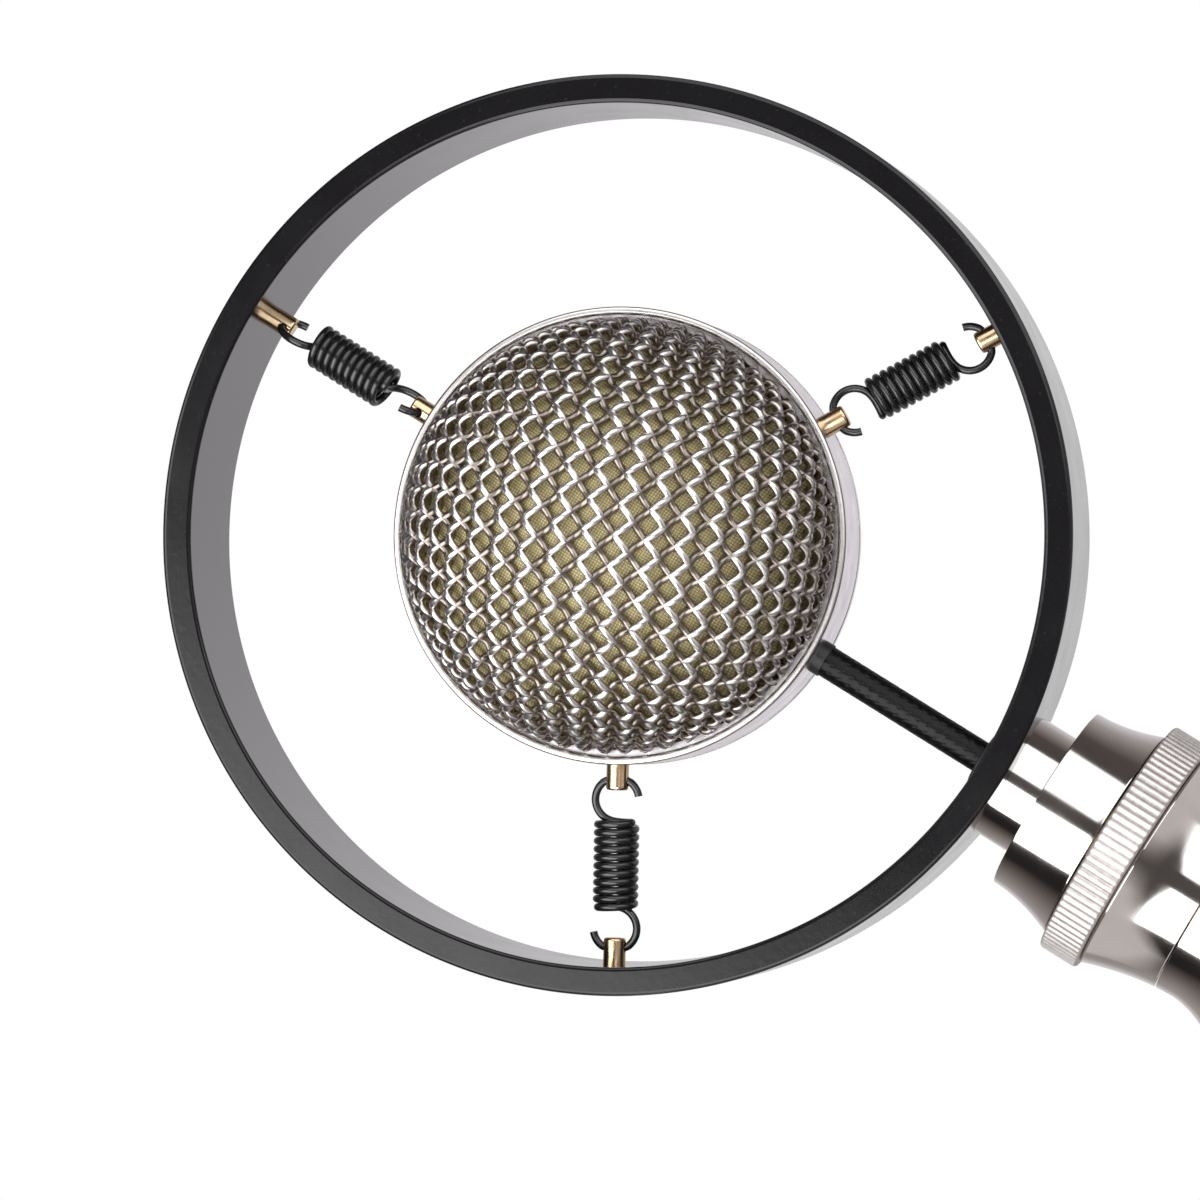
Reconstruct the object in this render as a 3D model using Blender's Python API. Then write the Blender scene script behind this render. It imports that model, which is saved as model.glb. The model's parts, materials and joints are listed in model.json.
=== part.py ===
"""Spring-suspended condenser microphone.

A ball-shaped head hangs on three extension springs inside a steel ring. The ring stands on a turned
neck that swivels in the body once its knurled lock nut is slackened. The body is a tube with the
electronics inside and a three-pin socket at its foot, and it tilts on a forked stand mount.

Frame: +Z up, the head faces -Y, +X to the right of someone looking at its front. The origin is the
seat inside the stand mount, where the end of the stand's stud comes to rest.
"""
import math

import bmesh
import bpy
from mathutils import Matrix, Vector

for old in list(bpy.data.objects):
    bpy.data.objects.remove(old, do_unlink=True)

mm = 0.001

# ---------------------------------------------------------------- driving dimensions
GAP = 0.3 * mm            # between neighbours that touch on the real object
FIT = 0.15 * mm           # round a small pin in its hole

RING_HEIGHT = 200 * mm    # ring centre above the stand seat
MIC_SETBACK = 34 * mm     # the microphone's own axis in front of the stand's axis
RING_OUTER_R = 50.8 * mm
RING_WALL = 3.175 * mm
RING_WIDTH = 20 * mm

HEAD_R = 25.4 * mm        # outside of the head's band
HEAD_FRONT = 6.0 * mm     # front edge of the bezel, forward of the ring's middle plane
HEAD_BACK = -7.5 * mm
HEAD_PINS = 1.5 * mm      # head pins, forward of the ring pins
BEZEL_DEPTH = 1.5 * mm
GRILLE_R = 24.3 * mm      # outside of the woven dome
GRILLE_WALL = 1.2 * mm
SCREEN_R = 22.7 * mm      # outside of the fine screen behind it
SCREEN_WALL = 0.5 * mm
CAPSULE_R = 17.0 * mm
CAPSULE_MIDDLE = (HEAD_FRONT + HEAD_BACK) / 2

WIRE_R = 0.43 * mm        # spring wire
COIL_R = 2.125 * mm       # spring, to the middle of the wire
COIL_PITCH = 0.925 * mm
COIL_TURNS = 10.3
HOOK_R = 2.45 * mm
PIN_R = 1.25 * mm
RING_PIN_HOLE = 1.9 * mm  # hole in a ring pin, from the ring's inner wall
HEAD_PIN_HOLE = 1.8 * mm  # hole in a head pin, from the head's band
PIN_TIP = 1.05 * mm       # past the middle of the hole
PIN_HOLE_R = 0.7 * mm
SPRING_PLACES = {"top": (90, -68), "right": (-30, 180), "left": (210, 0)}   # angle on the ring, turn of the hooks

CABLE_R = 1.8 * mm
TUBE_R = 17.5 * mm
TUBE_WALL = 1.6 * mm

# heights along the neck and body, measured down from the ring's centre
NIPPLE_R = 7.3 * mm
ADAPTOR_TOP = 55.1 * mm
ADAPTOR_END = 62.8 * mm
NUT_TOP = 63.1 * mm
NUT_END = 67.7 * mm
NUT_R = 14.2 * mm
BELL_TOP = 68.0 * mm
SEAM = 76.2 * mm
WAIST = 78.3 * mm
WAIST_R = 11.2 * mm
TUBE_TOP = 95.0 * mm
TUBE_END = 160.0 * mm
CAP_END = 178.0 * mm

PIVOT_HEIGHT = 28 * mm    # tilt pivot above the stand seat
SOCKET_R = 12.5 * mm
SOCKET_FOOT = -14 * mm
THREAD_R = 7.4 * mm       # minor radius of the 5/8 inch stand thread
BUSH_BORE_R = 9.5 * mm

# ---------------------------------------------------------------- materials


def material(name, colour, roughness, metallic):
    made = bpy.data.materials.new(name)
    made.use_nodes = True
    shader = made.node_tree.nodes["Principled BSDF"]
    shader.inputs["Base Color"].default_value = (*colour, 1)
    shader.inputs["Roughness"].default_value = roughness
    shader.inputs["Metallic"].default_value = metallic
    return made


BLACK_STEEL = material("black_steel", (0.02, 0.02, 0.022), 0.4, 0.3)
NICKEL = material("nickel", (0.72, 0.69, 0.66), 0.15, 1.0)
BAND_METAL = material("band_metal", (0.75, 0.74, 0.76), 0.25, 1.0)
WOVEN_STEEL = material("woven_steel", (0.70, 0.67, 0.66), 0.25, 1.0)
FINE_BRASS = material("fine_brass", (0.30, 0.26, 0.09), 0.5, 1.0)
BRASS = material("brass", (0.70, 0.42, 0.16), 0.25, 1.0)
SPRING_STEEL = material("spring_steel", (0.015, 0.015, 0.017), 0.35, 0.6)
CABLE_BRAID = material("cable_braid", (0.015, 0.015, 0.016), 0.6, 0.0)
BLACK_PLASTIC = material("black_plastic", (0.02, 0.02, 0.02), 0.45, 0.0)
GOLD_FILM = material("gold_film", (0.83, 0.62, 0.25), 0.2, 1.0)
BOARD_GREEN = material("board_green", (0.02, 0.12, 0.05), 0.4, 0.0)
GREY_CAN = material("grey_can", (0.35, 0.35, 0.37), 0.35, 1.0)
RED_FILM_CAPACITOR = material("capacitor_red", (0.35, 0.03, 0.02), 0.3, 0.0)
WASHER_FIBRE = material("washer_fibre", (0.08, 0.05, 0.03), 0.7, 0.0)

# ---------------------------------------------------------------- places


def place(name, location, rotation=(0, 0, 0), parent=None):
    empty = bpy.data.objects.new(name, None)
    empty.location = location
    empty.rotation_euler = rotation
    empty.parent = parent
    bpy.context.collection.objects.link(empty)
    return empty


TILT = place("tilt_axis", (0, 0, PIVOT_HEIGHT))
MIC = place("microphone_axis", (0, -MIC_SETBACK, RING_HEIGHT - PIVOT_HEIGHT), parent=TILT)
# turned about the head's own axis: local +Z is forward, local +Y is up
FORWARD = place("head_axis", (0, 0, 0), (math.pi / 2, 0, 0), MIC)

# ---------------------------------------------------------------- mesh helpers


def add(name, mesh, finish, parent=None, location=(0, 0, 0), rotation=(0, 0, 0)):
    made = bpy.data.objects.new(name, mesh)
    made.location = location
    made.rotation_euler = rotation
    made.parent = parent
    if finish:
        mesh.materials.append(finish)
    bpy.context.collection.objects.link(made)
    return made


def finished(name, bm, smooth_angle=40):
    bmesh.ops.recalc_face_normals(bm, faces=bm.faces)
    mesh = bpy.data.meshes.new(name)
    bm.to_mesh(mesh)
    bm.free()
    mesh.shade_smooth()
    mesh.set_sharp_from_angle(angle=math.radians(smooth_angle))
    return mesh


def turned(name, outline, steps, shape=None):
    """Turn an outline of (radius, height) points round Z. A point at radius 0 closes the end.

    shape(angle, row) scales the radius, for knurls and lobes.
    """
    bm = bmesh.new()
    rows = []
    for row, (radius, height) in enumerate(outline):
        if radius == 0:
            rows.append([bm.verts.new((0, 0, height))] * steps)
            continue
        ring = []
        for step in range(steps):
            angle = 2 * math.pi * step / steps
            r = radius * (shape(angle, row) if shape else 1)
            ring.append(bm.verts.new((r * math.cos(angle), r * math.sin(angle), height)))
        rows.append(ring)
    pairs = list(zip(rows, rows[1:]))
    if outline[0][0] != 0:
        pairs.append((rows[-1], rows[0]))
    for low, high in pairs:
        for step in range(steps):
            after = (step + 1) % steps
            corners = [low[step], low[after], high[after], high[step]]
            corners = [v for i, v in enumerate(corners) if v not in corners[:i]]
            if len(corners) > 2:
                bm.faces.new(corners)
    return finished(name, bm)


def extruded(name, outline, low, high):
    """A flat outline of (y, z) points, extruded along X from low to high."""
    bm = bmesh.new()
    face = bm.faces.new([bm.verts.new((low, y, z)) for y, z in outline])
    side = bmesh.ops.extrude_face_region(bm, geom=[face])["geom"]
    moved = [v for v in side if isinstance(v, bmesh.types.BMVert)]
    bmesh.ops.translate(bm, vec=(high - low, 0, 0), verts=moved)
    return finished(name, bm)


def block(name, size):
    bm = bmesh.new()
    bmesh.ops.create_cube(bm, size=1)
    bmesh.ops.scale(bm, vec=size, verts=bm.verts)
    return finished(name, bm)


def rod(name, radius, low, high, steps=24, chamfer=0.0):
    """A cylinder along Z with chamfered ends."""
    outline = [(0, low), (radius - chamfer, low), (radius, low + chamfer),
               (radius, high - chamfer), (radius - chamfer, high), (0, high)]
    if not chamfer:
        outline = [(0, low), (radius, low), (radius, high), (0, high)]
    return turned(name, outline, steps)


def tube_outline(inner, outer, low, high, chamfer=0.0):
    if not chamfer:
        return [(outer, low), (outer, high), (inner, high), (inner, low)]
    return [(outer - chamfer, low), (outer, low + chamfer), (outer, high - chamfer), (outer - chamfer, high),
            (inner + chamfer, high), (inner, high - chamfer), (inner, low + chamfer), (inner + chamfer, low)]


def swept(name, path, radius, sides):
    """A round wire along a list of points, with closed ends."""
    bm = bmesh.new()
    points = [Vector(p) for p in path]
    side = (points[1] - points[0]).orthogonal().normalized()
    rings = []
    for i, point in enumerate(points):
        ahead = points[min(i + 1, len(points) - 1)] - points[max(i - 1, 0)]
        ahead.normalize()
        side = (side - side.dot(ahead) * ahead).normalized()
        other = ahead.cross(side)
        ring = []
        for k in range(sides):
            angle = 2 * math.pi * k / sides
            ring.append(bm.verts.new(point + radius * (math.cos(angle) * side + math.sin(angle) * other)))
        rings.append(ring)
    for low, high in zip(rings, rings[1:]):
        for k in range(sides):
            bm.faces.new((low[k], low[(k + 1) % sides], high[(k + 1) % sides], high[k]))
    bm.faces.new(rings[0])
    bm.faces.new(rings[-1])
    return finished(name, bm, 60)


def boolean(target, cutter, operation="DIFFERENCE"):
    modifier = target.modifiers.new(operation.lower(), "BOOLEAN")
    modifier.operation = operation
    modifier.object = cutter
    cutter.hide_render = True
    cutter.display_type = "WIRE"


def drill(target, radius, low, high, parent, location=(0, 0, 0), rotation=(0, 0, 0), steps=16):
    """Drill a round hole through target along the local Z of the given place."""
    cutter = add(target.name + "_drill", rod("drill", radius, low, high, steps), None, parent, location, rotation)
    boolean(target, cutter)


def radial(angle_deg, radius=0.0):
    """Place and turn, under FORWARD, of something whose local +Z points inward from the ring at an angle."""
    angle = math.radians(angle_deg)
    location = Vector((radius * math.cos(angle), radius * math.sin(angle), 0))
    inward = Vector((-math.cos(angle), -math.sin(angle), 0))
    forward = Vector((0, 0, 1))
    across = forward.cross(inward)
    turn = Matrix((across, forward, inward)).transposed()
    return location, turn.to_euler()


# ---------------------------------------------------------------- ring and neck


def build_ring():
    inner = RING_OUTER_R - RING_WALL
    outline = tube_outline(inner, RING_OUTER_R, -RING_WIDTH / 2, RING_WIDTH / 2, 0.3 * mm)
    ring = add("ring", turned("ring", outline, 48), BLACK_STEEL, FORWARD)
    for angle, _ in SPRING_PLACES.values():
        location, turn = radial(angle, RING_OUTER_R)
        drill(ring, PIN_R + FIT, -3 * mm, 6 * mm, FORWARD, location, turn)
    drill(ring, CABLE_R + 1.2 * mm, -54 * mm, -44 * mm, MIC)

    flange_top = -(inner - 0.8 * mm)
    bore = CABLE_R + GAP
    grommet = [(bore, -inner - 2.8 * mm), (bore + 0.6 * mm, -inner - 2.8 * mm), (bore + 0.6 * mm, -inner + 0.25 * mm),
               (bore + 1.4 * mm, -inner + 0.25 * mm), (bore + 1.2 * mm, flange_top), (bore, flange_top)]
    add("ring_grommet", turned("ring_grommet", grommet, 20), BLACK_PLASTIC, MIC)


def build_neck():
    """Nipple, adaptor and the spigot that swivels in the body."""
    bore = 2.6 * mm
    nipple = tube_outline(bore, NIPPLE_R, -ADAPTOR_TOP + GAP / 2, -49 * mm)
    made = add("neck_nipple", turned("neck_nipple", nipple, 32), NICKEL, MIC)
    saddle = rod("nipple_saddle", RING_OUTER_R + GAP / 2, -12 * mm, 12 * mm, 144)
    boolean(made, add("nipple_saddle", saddle, None, FORWARD))

    top_r = 10.9 * mm
    foot_r = 12.6 * mm
    flare = 1.9
    length = ADAPTOR_END - ADAPTOR_TOP
    outline = [(bore, -ADAPTOR_TOP - GAP / 2), (top_r - 0.4 * mm, -ADAPTOR_TOP - GAP / 2)]
    for i in range(5):
        t = 0.05 + 0.95 * i / 4
        outline.append((top_r + (foot_r - top_r) * t ** flare, -ADAPTOR_TOP - length * t))
    outline += [(6.3 * mm, -ADAPTOR_END), (6.3 * mm, -58.3 * mm), (bore, -58.3 * mm)]
    add("neck_adaptor", turned("neck_adaptor", outline, 32), NICKEL, MIC)

    spigot = tube_outline(bore, 6.0 * mm, -79 * mm, -58.6 * mm)
    add("swivel_spigot", turned("swivel_spigot", spigot, 24), BRASS, MIC)
    clip = tube_outline(6.3 * mm, 8.3 * mm, -78.4 * mm, -77.6 * mm)
    add("retaining_clip", turned("retaining_clip", clip, 20), GREY_CAN, MIC)


def build_lock_nut():
    teeth = 30
    crest = 0.9 * mm

    def knurl(angle, row):
        step = round(angle / (math.pi / teeth))
        return 1 - 0.03 * (step % 2) if row in (2, 3) else 1

    outline = [(6.4 * mm, -NUT_END), (NUT_R - crest, -NUT_END), (NUT_R, -NUT_END + 0.5 * mm),
               (NUT_R, -NUT_TOP - 0.5 * mm), (NUT_R - crest, -NUT_TOP), (6.4 * mm, -NUT_TOP)]
    add("lock_nut", turned("lock_nut", outline, 2 * teeth, knurl), NICKEL, MIC)


# ---------------------------------------------------------------- head


def dome(name, outer, wall, base, facing, finish):
    """An open half sphere whose rim stands at base. facing is 1 for the front dome, -1 for the rear."""
    rows = 5
    angles = [math.pi / 2 * i / rows for i in range(rows + 1)]
    outline = [(outer * math.cos(a), base + facing * outer * math.sin(a)) for a in angles[:-1]]
    outline.append((0, base + facing * outer))
    inner = outer - wall
    inside = [(inner * math.cos(a), base + facing * inner * math.sin(a)) for a in angles[:-1]]
    inside.append((0, base + facing * inner))

    steps = 24
    bm = bmesh.new()
    shells = []
    for profile in (outline, inside):
        shell = []
        for radius, height in profile[:-1]:
            circle = []
            for step in range(steps):
                turn = 2 * math.pi * step / steps
                circle.append(bm.verts.new((radius * math.cos(turn), radius * math.sin(turn), height)))
            shell.append(circle)
        apex = bm.verts.new((0, 0, profile[-1][1]))
        for low, high in zip(shell, shell[1:]):
            for k in range(steps):
                bm.faces.new((low[k], low[(k + 1) % steps], high[(k + 1) % steps], high[k]))
        for k in range(steps):
            bm.faces.new((shell[-1][k], shell[-1][(k + 1) % steps], apex))
        shells.append(shell)
    rim, inner_rim = shells[0][0], shells[1][0]
    for k in range(steps):
        bm.faces.new((rim[k], rim[(k + 1) % steps], inner_rim[(k + 1) % steps], inner_rim[k]))
    add(name, finished(name, bm), finish, FORWARD)


def build_head_shell():
    lip = 0.6 * mm
    seat = GRILLE_R + 0.25 * mm
    for name, edge, facing in (("front_bezel", HEAD_FRONT, 1), ("rear_bezel", HEAD_BACK, -1)):
        inside = edge - facing * BEZEL_DEPTH
        outline = [(HEAD_R, inside), (HEAD_R, edge - facing * lip), (HEAD_R - lip, edge), (seat, edge),
                   (seat, inside)]
        add(name, turned(name, outline, 40), BAND_METAL, FORWARD)
        base = edge - facing * 0.7 * mm
        dome(name.split("_")[0] + "_grille", GRILLE_R, GRILLE_WALL, base, facing, WOVEN_STEEL)
        dome(name.split("_")[0] + "_screen", SCREEN_R, SCREEN_WALL, base, facing, FINE_BRASS)

    low = HEAD_BACK + BEZEL_DEPTH + GAP
    high = HEAD_FRONT - BEZEL_DEPTH - GAP
    band = add("head_band", turned("head_band", tube_outline(23.6 * mm, HEAD_R, low, high), 40), BAND_METAL, FORWARD)
    for angle, _ in SPRING_PLACES.values():
        location, turn = radial(angle, HEAD_R)
        drill(band, PIN_R + FIT, -3 * mm, 4 * mm, FORWARD, location + Vector((0, 0, HEAD_PINS)), turn)
    drill(band, CABLE_R + 0.9 * mm, -30 * mm, -20 * mm, MIC)

    bore = CABLE_R + GAP
    wall = 0.45 * mm
    gland = tube_outline(bore, bore + wall, -HEAD_R - 1.4 * mm, -22.8 * mm, 0.15 * mm)
    add("cable_gland", turned("cable_gland", gland, 20), BLACK_PLASTIC, MIC)


def build_capsule():
    """Centre-terminated capsule with a diaphragm on each side, held by two arms."""
    middle = CAPSULE_MIDDLE
    half = 3.2 * mm
    add("capsule_backplate", rod("capsule_backplate", CAPSULE_R - 0.6 * mm, middle - half, middle + half, 32),
        BRASS, FORWARD)
    for side, facing in (("front", 1), ("rear", -1)):
        near = middle + facing * (half + GAP)
        film = near + facing * 0.2 * mm
        disc = rod(side + "_diaphragm", 13.4 * mm, min(near, film), max(near, film), 32)
        add(side + "_diaphragm", disc, GOLD_FILM, FORWARD)
        far = near + facing * 1.4 * mm
        outline = tube_outline(13.7 * mm, CAPSULE_R, min(near, far), max(near, far))
        add(side + "_clamp_ring", turned(side + "_clamp_ring", outline, 32), BRASS, FORWARD)
    for side, sign in (("left", -1), ("right", 1)):
        length = 5.6 * mm
        arm = add("capsule_arm_" + side, block("capsule_arm", (length, 5 * mm, 4 * mm)), BLACK_PLASTIC, FORWARD,
                  (sign * (CAPSULE_R + GAP + length / 2), 0, middle))
        bevel = arm.modifiers.new("edges", "BEVEL")
        bevel.width = 0.4 * mm


def hook():
    """Hook path from its open end to the coil: x across, z from the pin's hole towards the coil.

    The wire is straight inside the pin and round outside it, and crosses the coil's end to join it.
    """
    chord = 1.3 * mm
    centre = math.sqrt(HOOK_R ** 2 - chord ** 2)
    bend = math.asin(chord / HOOK_R)
    path = []
    for low, high, steps in ((math.radians(80), bend, 3), (-bend, math.radians(-156), 6)):
        for i in range(steps + 1):
            angle = low + (high - low) * i / steps
            path.append((HOOK_R * math.sin(angle), 0, centre - HOOK_R * math.cos(angle)))
    across = ((-0.1, 0.0, 4.39), (0.9, 0.25, 4.42), (1.55, 0.8, 4.44))
    return path + [(x * mm, y * mm, z * mm) for x, y, z in across]


def spring_path(length):
    """One wire: hook, close-wound coil and a second hook, turned half round to the other side."""
    coil = COIL_TURNS * COIL_PITCH
    low = (length - coil) / 2
    start = math.radians(36)
    steps = round(COIL_TURNS * 7)
    turns = []
    for i in range(steps + 1):
        t = i / steps
        angle = start + 2 * math.pi * COIL_TURNS * t
        turns.append((COIL_R * math.cos(angle), COIL_R * math.sin(angle), low + coil * t))
    last = [(-x, y, length - z) for x, y, z in hook()]
    return hook() + turns + last[::-1]


def build_springs():
    """Three springs, each from a hole in a ring pin to a hole in a head pin a little further forward."""
    inner = RING_OUTER_R - RING_WALL
    run = (inner - RING_PIN_HOLE) - (HEAD_R + HEAD_PIN_HOLE)
    length = math.hypot(run, HEAD_PINS)
    lean = (-math.atan2(HEAD_PINS, run), 0, 0)
    for place_name, (angle, twist) in SPRING_PLACES.items():
        pivot, turn = radial(angle, inner - RING_PIN_HOLE)
        empty = place("pin_axis_" + place_name, pivot, turn, FORWARD)
        line = place("spring_axis_" + place_name, (0, 0, 0), lean, empty)
        twisted = (0, 0, math.radians(twist))
        add("spring_" + place_name, swept("spring", spring_path(length), WIRE_R, 5), SPRING_STEEL, line, (0, 0, 0),
            twisted)

        ring_pin = rod("ring_pin", PIN_R, -RING_PIN_HOLE - 1.7 * mm, PIN_TIP, 14)
        ring_pin = add("ring_pin_" + place_name, ring_pin, BRASS, empty)
        head_pin = rod("head_pin", PIN_R, -PIN_TIP, HEAD_PIN_HOLE + 1.2 * mm, 14)
        head_hole = (0, HEAD_PINS, run)
        head_pin = add("head_pin_" + place_name, head_pin, BRASS, empty, head_hole)
        across = (0, math.pi / 2, math.radians(twist))
        drill(ring_pin, PIN_HOLE_R, -2 * mm, 2 * mm, empty, (0, 0, 0), across, 12)
        drill(head_pin, PIN_HOLE_R, -2 * mm, 2 * mm, empty, head_hole, across, 12)

        far = -RING_PIN_HOLE - RING_WALL + 0.25 * mm
        near = -RING_PIN_HOLE - 1.7 * mm - GAP
        screw = [(0, near), (PIN_R, near), (PIN_R, far + 0.1 * mm), (PIN_R - 0.1 * mm, far), (0.55 * mm, far),
                 (0.55 * mm, far + 0.5 * mm), (0, far + 0.5 * mm)]
        add("pin_screw_" + place_name, turned("pin_screw", screw, 14), BLACK_STEEL, empty)


def build_signal_cable():
    """Screened cable from the capsule, straight down through ring, neck and spigot to the board."""
    top = -21.0 * mm
    end = -99.6 * mm
    count = 11
    data = bpy.data.curves.new("signal_cable", "CURVE")
    data.dimensions = "3D"
    data.bevel_depth = CABLE_R
    data.bevel_resolution = 2
    data.use_fill_caps = True
    line = data.splines.new("POLY")
    line.points.add(count - 1)
    for i, point in enumerate(line.points):
        point.co = (0, 0, top + (end - top) * i / (count - 1), 1)
    add("signal_cable", data, CABLE_BRAID, MIC)


# ---------------------------------------------------------------- body


def build_bells():
    bore = 6.3 * mm
    shoulder = 2.1 * mm
    outline = [(bore, -BELL_TOP), (WAIST_R + shoulder - 0.3 * mm, -BELL_TOP)]
    for i in range(6):
        s = BELL_TOP + 0.2 * mm + (SEAM - BELL_TOP - 0.2 * mm) * i / 5
        up = (WAIST - s) / (WAIST - BELL_TOP)
        outline.append((WAIST_R + shoulder * up ** 1.75, -s))
    outline.append((bore, -SEAM))
    add("neck_bell", turned("neck_bell", outline, 32), NICKEL, MIC)

    wall = 2.0 * mm
    spigot_r = TUBE_R - TUBE_WALL - GAP
    top = SEAM + GAP
    outer = [(WAIST_R + 0.1 * mm, -top)]
    for i in range(8):
        t = i / 7
        rise = t * t * (3 - 2 * t)
        outer.append((WAIST_R + (TUBE_R - WAIST_R) * rise, -(WAIST + (TUBE_TOP - WAIST) * t)))
    inner = [(spigot_r, -TUBE_TOP), (spigot_r, -100 * mm), (spigot_r - wall, -100 * mm), (spigot_r - wall, -94 * mm),
             (WAIST_R - wall, -82 * mm), (WAIST_R - wall, -top)]
    add("body_bell", turned("body_bell", outer + inner, 32), NICKEL, MIC)


def build_tube():
    bore = TUBE_R - TUBE_WALL
    outline = tube_outline(bore, TUBE_R, -TUBE_END, -TUBE_TOP - GAP)
    tube = add("body_tube", turned("body_tube", outline, 36), NICKEL, MIC)
    cap_screw_height = -156.5 * mm
    drill(tube, 1.9 * mm, 14 * mm, 20 * mm, MIC, (0, 0, cap_screw_height), (math.pi / 2, 0, 0))

    reach = TUBE_R - GAP
    rim = CAP_END - 1.2 * mm
    cap = [(bore - GAP, -152.6 * mm), (9.8 * mm, -152.6 * mm), (9.8 * mm, -CAP_END), (TUBE_R - 1.2 * mm, -CAP_END),
           (TUBE_R, -rim), (TUBE_R, -TUBE_END - GAP), (bore - GAP, -TUBE_END - GAP)]
    cap = add("bottom_cap", turned("bottom_cap", cap, 36), NICKEL, MIC)
    drill(cap, 1.3 * mm, 11 * mm, 17 * mm, MIC, (0, 0, cap_screw_height), (math.pi / 2, 0, 0))
    screw = [(0, 12 * mm), (1.0 * mm, 12 * mm), (1.0 * mm, bore + 0.1 * mm), (1.6 * mm, bore + 0.1 * mm),
             (1.6 * mm, reach - 0.2 * mm), (1.3 * mm, reach), (0, reach)]
    add("cap_screw", turned("cap_screw", screw, 16), GREY_CAN, MIC, (0, 0, cap_screw_height), (math.pi / 2, 0, 0))


def build_output_socket():
    """Three-pin male socket in the foot of the body."""
    shell = tube_outline(8.2 * mm, 9.5 * mm, -CAP_END + 0.2 * mm, -155 * mm)
    add("xlr_shell", turned("xlr_shell", shell, 32), GREY_CAN, MIC)
    insert = add("xlr_insert", rod("xlr_insert", 7.9 * mm, -162.5 * mm, -156 * mm, 24), BLACK_PLASTIC, MIC)
    pin_circle = 4.1 * mm
    pin_r = 1.2 * mm
    for number, angle in (("1", 210), ("2", -30), ("3", 90)):
        x = pin_circle * math.cos(math.radians(angle))
        y = pin_circle * math.sin(math.radians(angle))
        drill(insert, pin_r + FIT, -165 * mm, -154 * mm, MIC, (x, y, 0), steps=12)
        pin = rod("xlr_pin", pin_r, -175.5 * mm, -154 * mm, 12, 0.4 * mm)
        add("xlr_pin_" + number, pin, BRASS, MIC, (x, y, 0))


def build_electronics():
    board_top = 104.3 * mm
    board_end = 151.0 * mm
    height = board_end - board_top
    middle = -(board_top + board_end) / 2
    add("circuit_board", block("circuit_board", (24 * mm, 1.6 * mm, height)), BOARD_GREEN, MIC, (0, 0, middle))
    bracket = tube_outline(5 * mm, 15.2 * mm, -152.3 * mm, -151.3 * mm)
    add("board_bracket", turned("board_bracket", bracket, 24), GREY_CAN, MIC)
    add("board_connector", block("board_connector", (8 * mm, 5 * mm, 4 * mm)), BLACK_PLASTIC, MIC,
        (0, 0, -102 * mm))
    can = rod("transformer", 6.8 * mm, -149 * mm, -129 * mm, 20, 0.6 * mm)
    add("transformer", can, GREY_CAN, MIC, (0, -0.8 * mm - GAP - 6.8 * mm, 0))
    box = add("coupling_capacitor", block("coupling_capacitor", (16 * mm, 7 * mm, 11 * mm)), RED_FILM_CAPACITOR, MIC,
              (0, -0.8 * mm - GAP - 3.5 * mm, -118 * mm))
    bevel = box.modifiers.new("edges", "BEVEL")
    bevel.width = 0.5 * mm


# ---------------------------------------------------------------- stand mount


def build_lug():
    """Tilt lug on the back of the body, screwed on from inside the tube."""
    end_r = 9 * mm
    outline = []
    for i in range(11):
        angle = math.radians(-115 + 175 * i / 10)
        outline.append((end_r * math.cos(angle), end_r * math.sin(angle)))
    outline += [(-11 * mm, 36 * mm), (-12.5 * mm, 38 * mm), (-20 * mm, 38 * mm), (-20 * mm, 0)]
    lug = add("tilt_lug", extruded("tilt_lug", outline, -5 * mm, 5 * mm), NICKEL, TILT)
    clear = rod("lug_seat", TUBE_R + GAP, -CAP_END - 5 * mm, -120 * mm, 96)
    boolean(lug, add("lug_seat", clear, None, MIC))
    sideways = (0, math.pi / 2, 0)
    drill(lug, 3.3 * mm, -8 * mm, 8 * mm, TILT, (0, 0, 0), sideways, 24)

    tube = bpy.data.objects["body_tube"]
    bore = TUBE_R - TUBE_WALL
    backward = (-math.pi / 2, 0, 0)
    for name, height in (("upper", -139 * mm), ("lower", -147 * mm)):
        drill(lug, 1.8 * mm, 15 * mm, 22.3 * mm, MIC, (0, 0, height), backward)
        drill(tube, 1.8 * mm, 14 * mm, 20 * mm, MIC, (0, 0, height), backward)
        head = bore - 0.35 * mm
        outline = [(0, head - 1.6 * mm), (2.4 * mm, head - 1.6 * mm), (2.4 * mm, head), (1.5 * mm, head),
                   (1.5 * mm, 22 * mm), (0, 22 * mm)]
        add("lug_screw_" + name, turned("lug_screw", outline, 12), GREY_CAN, MIC, (0, 0, height), backward)


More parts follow.
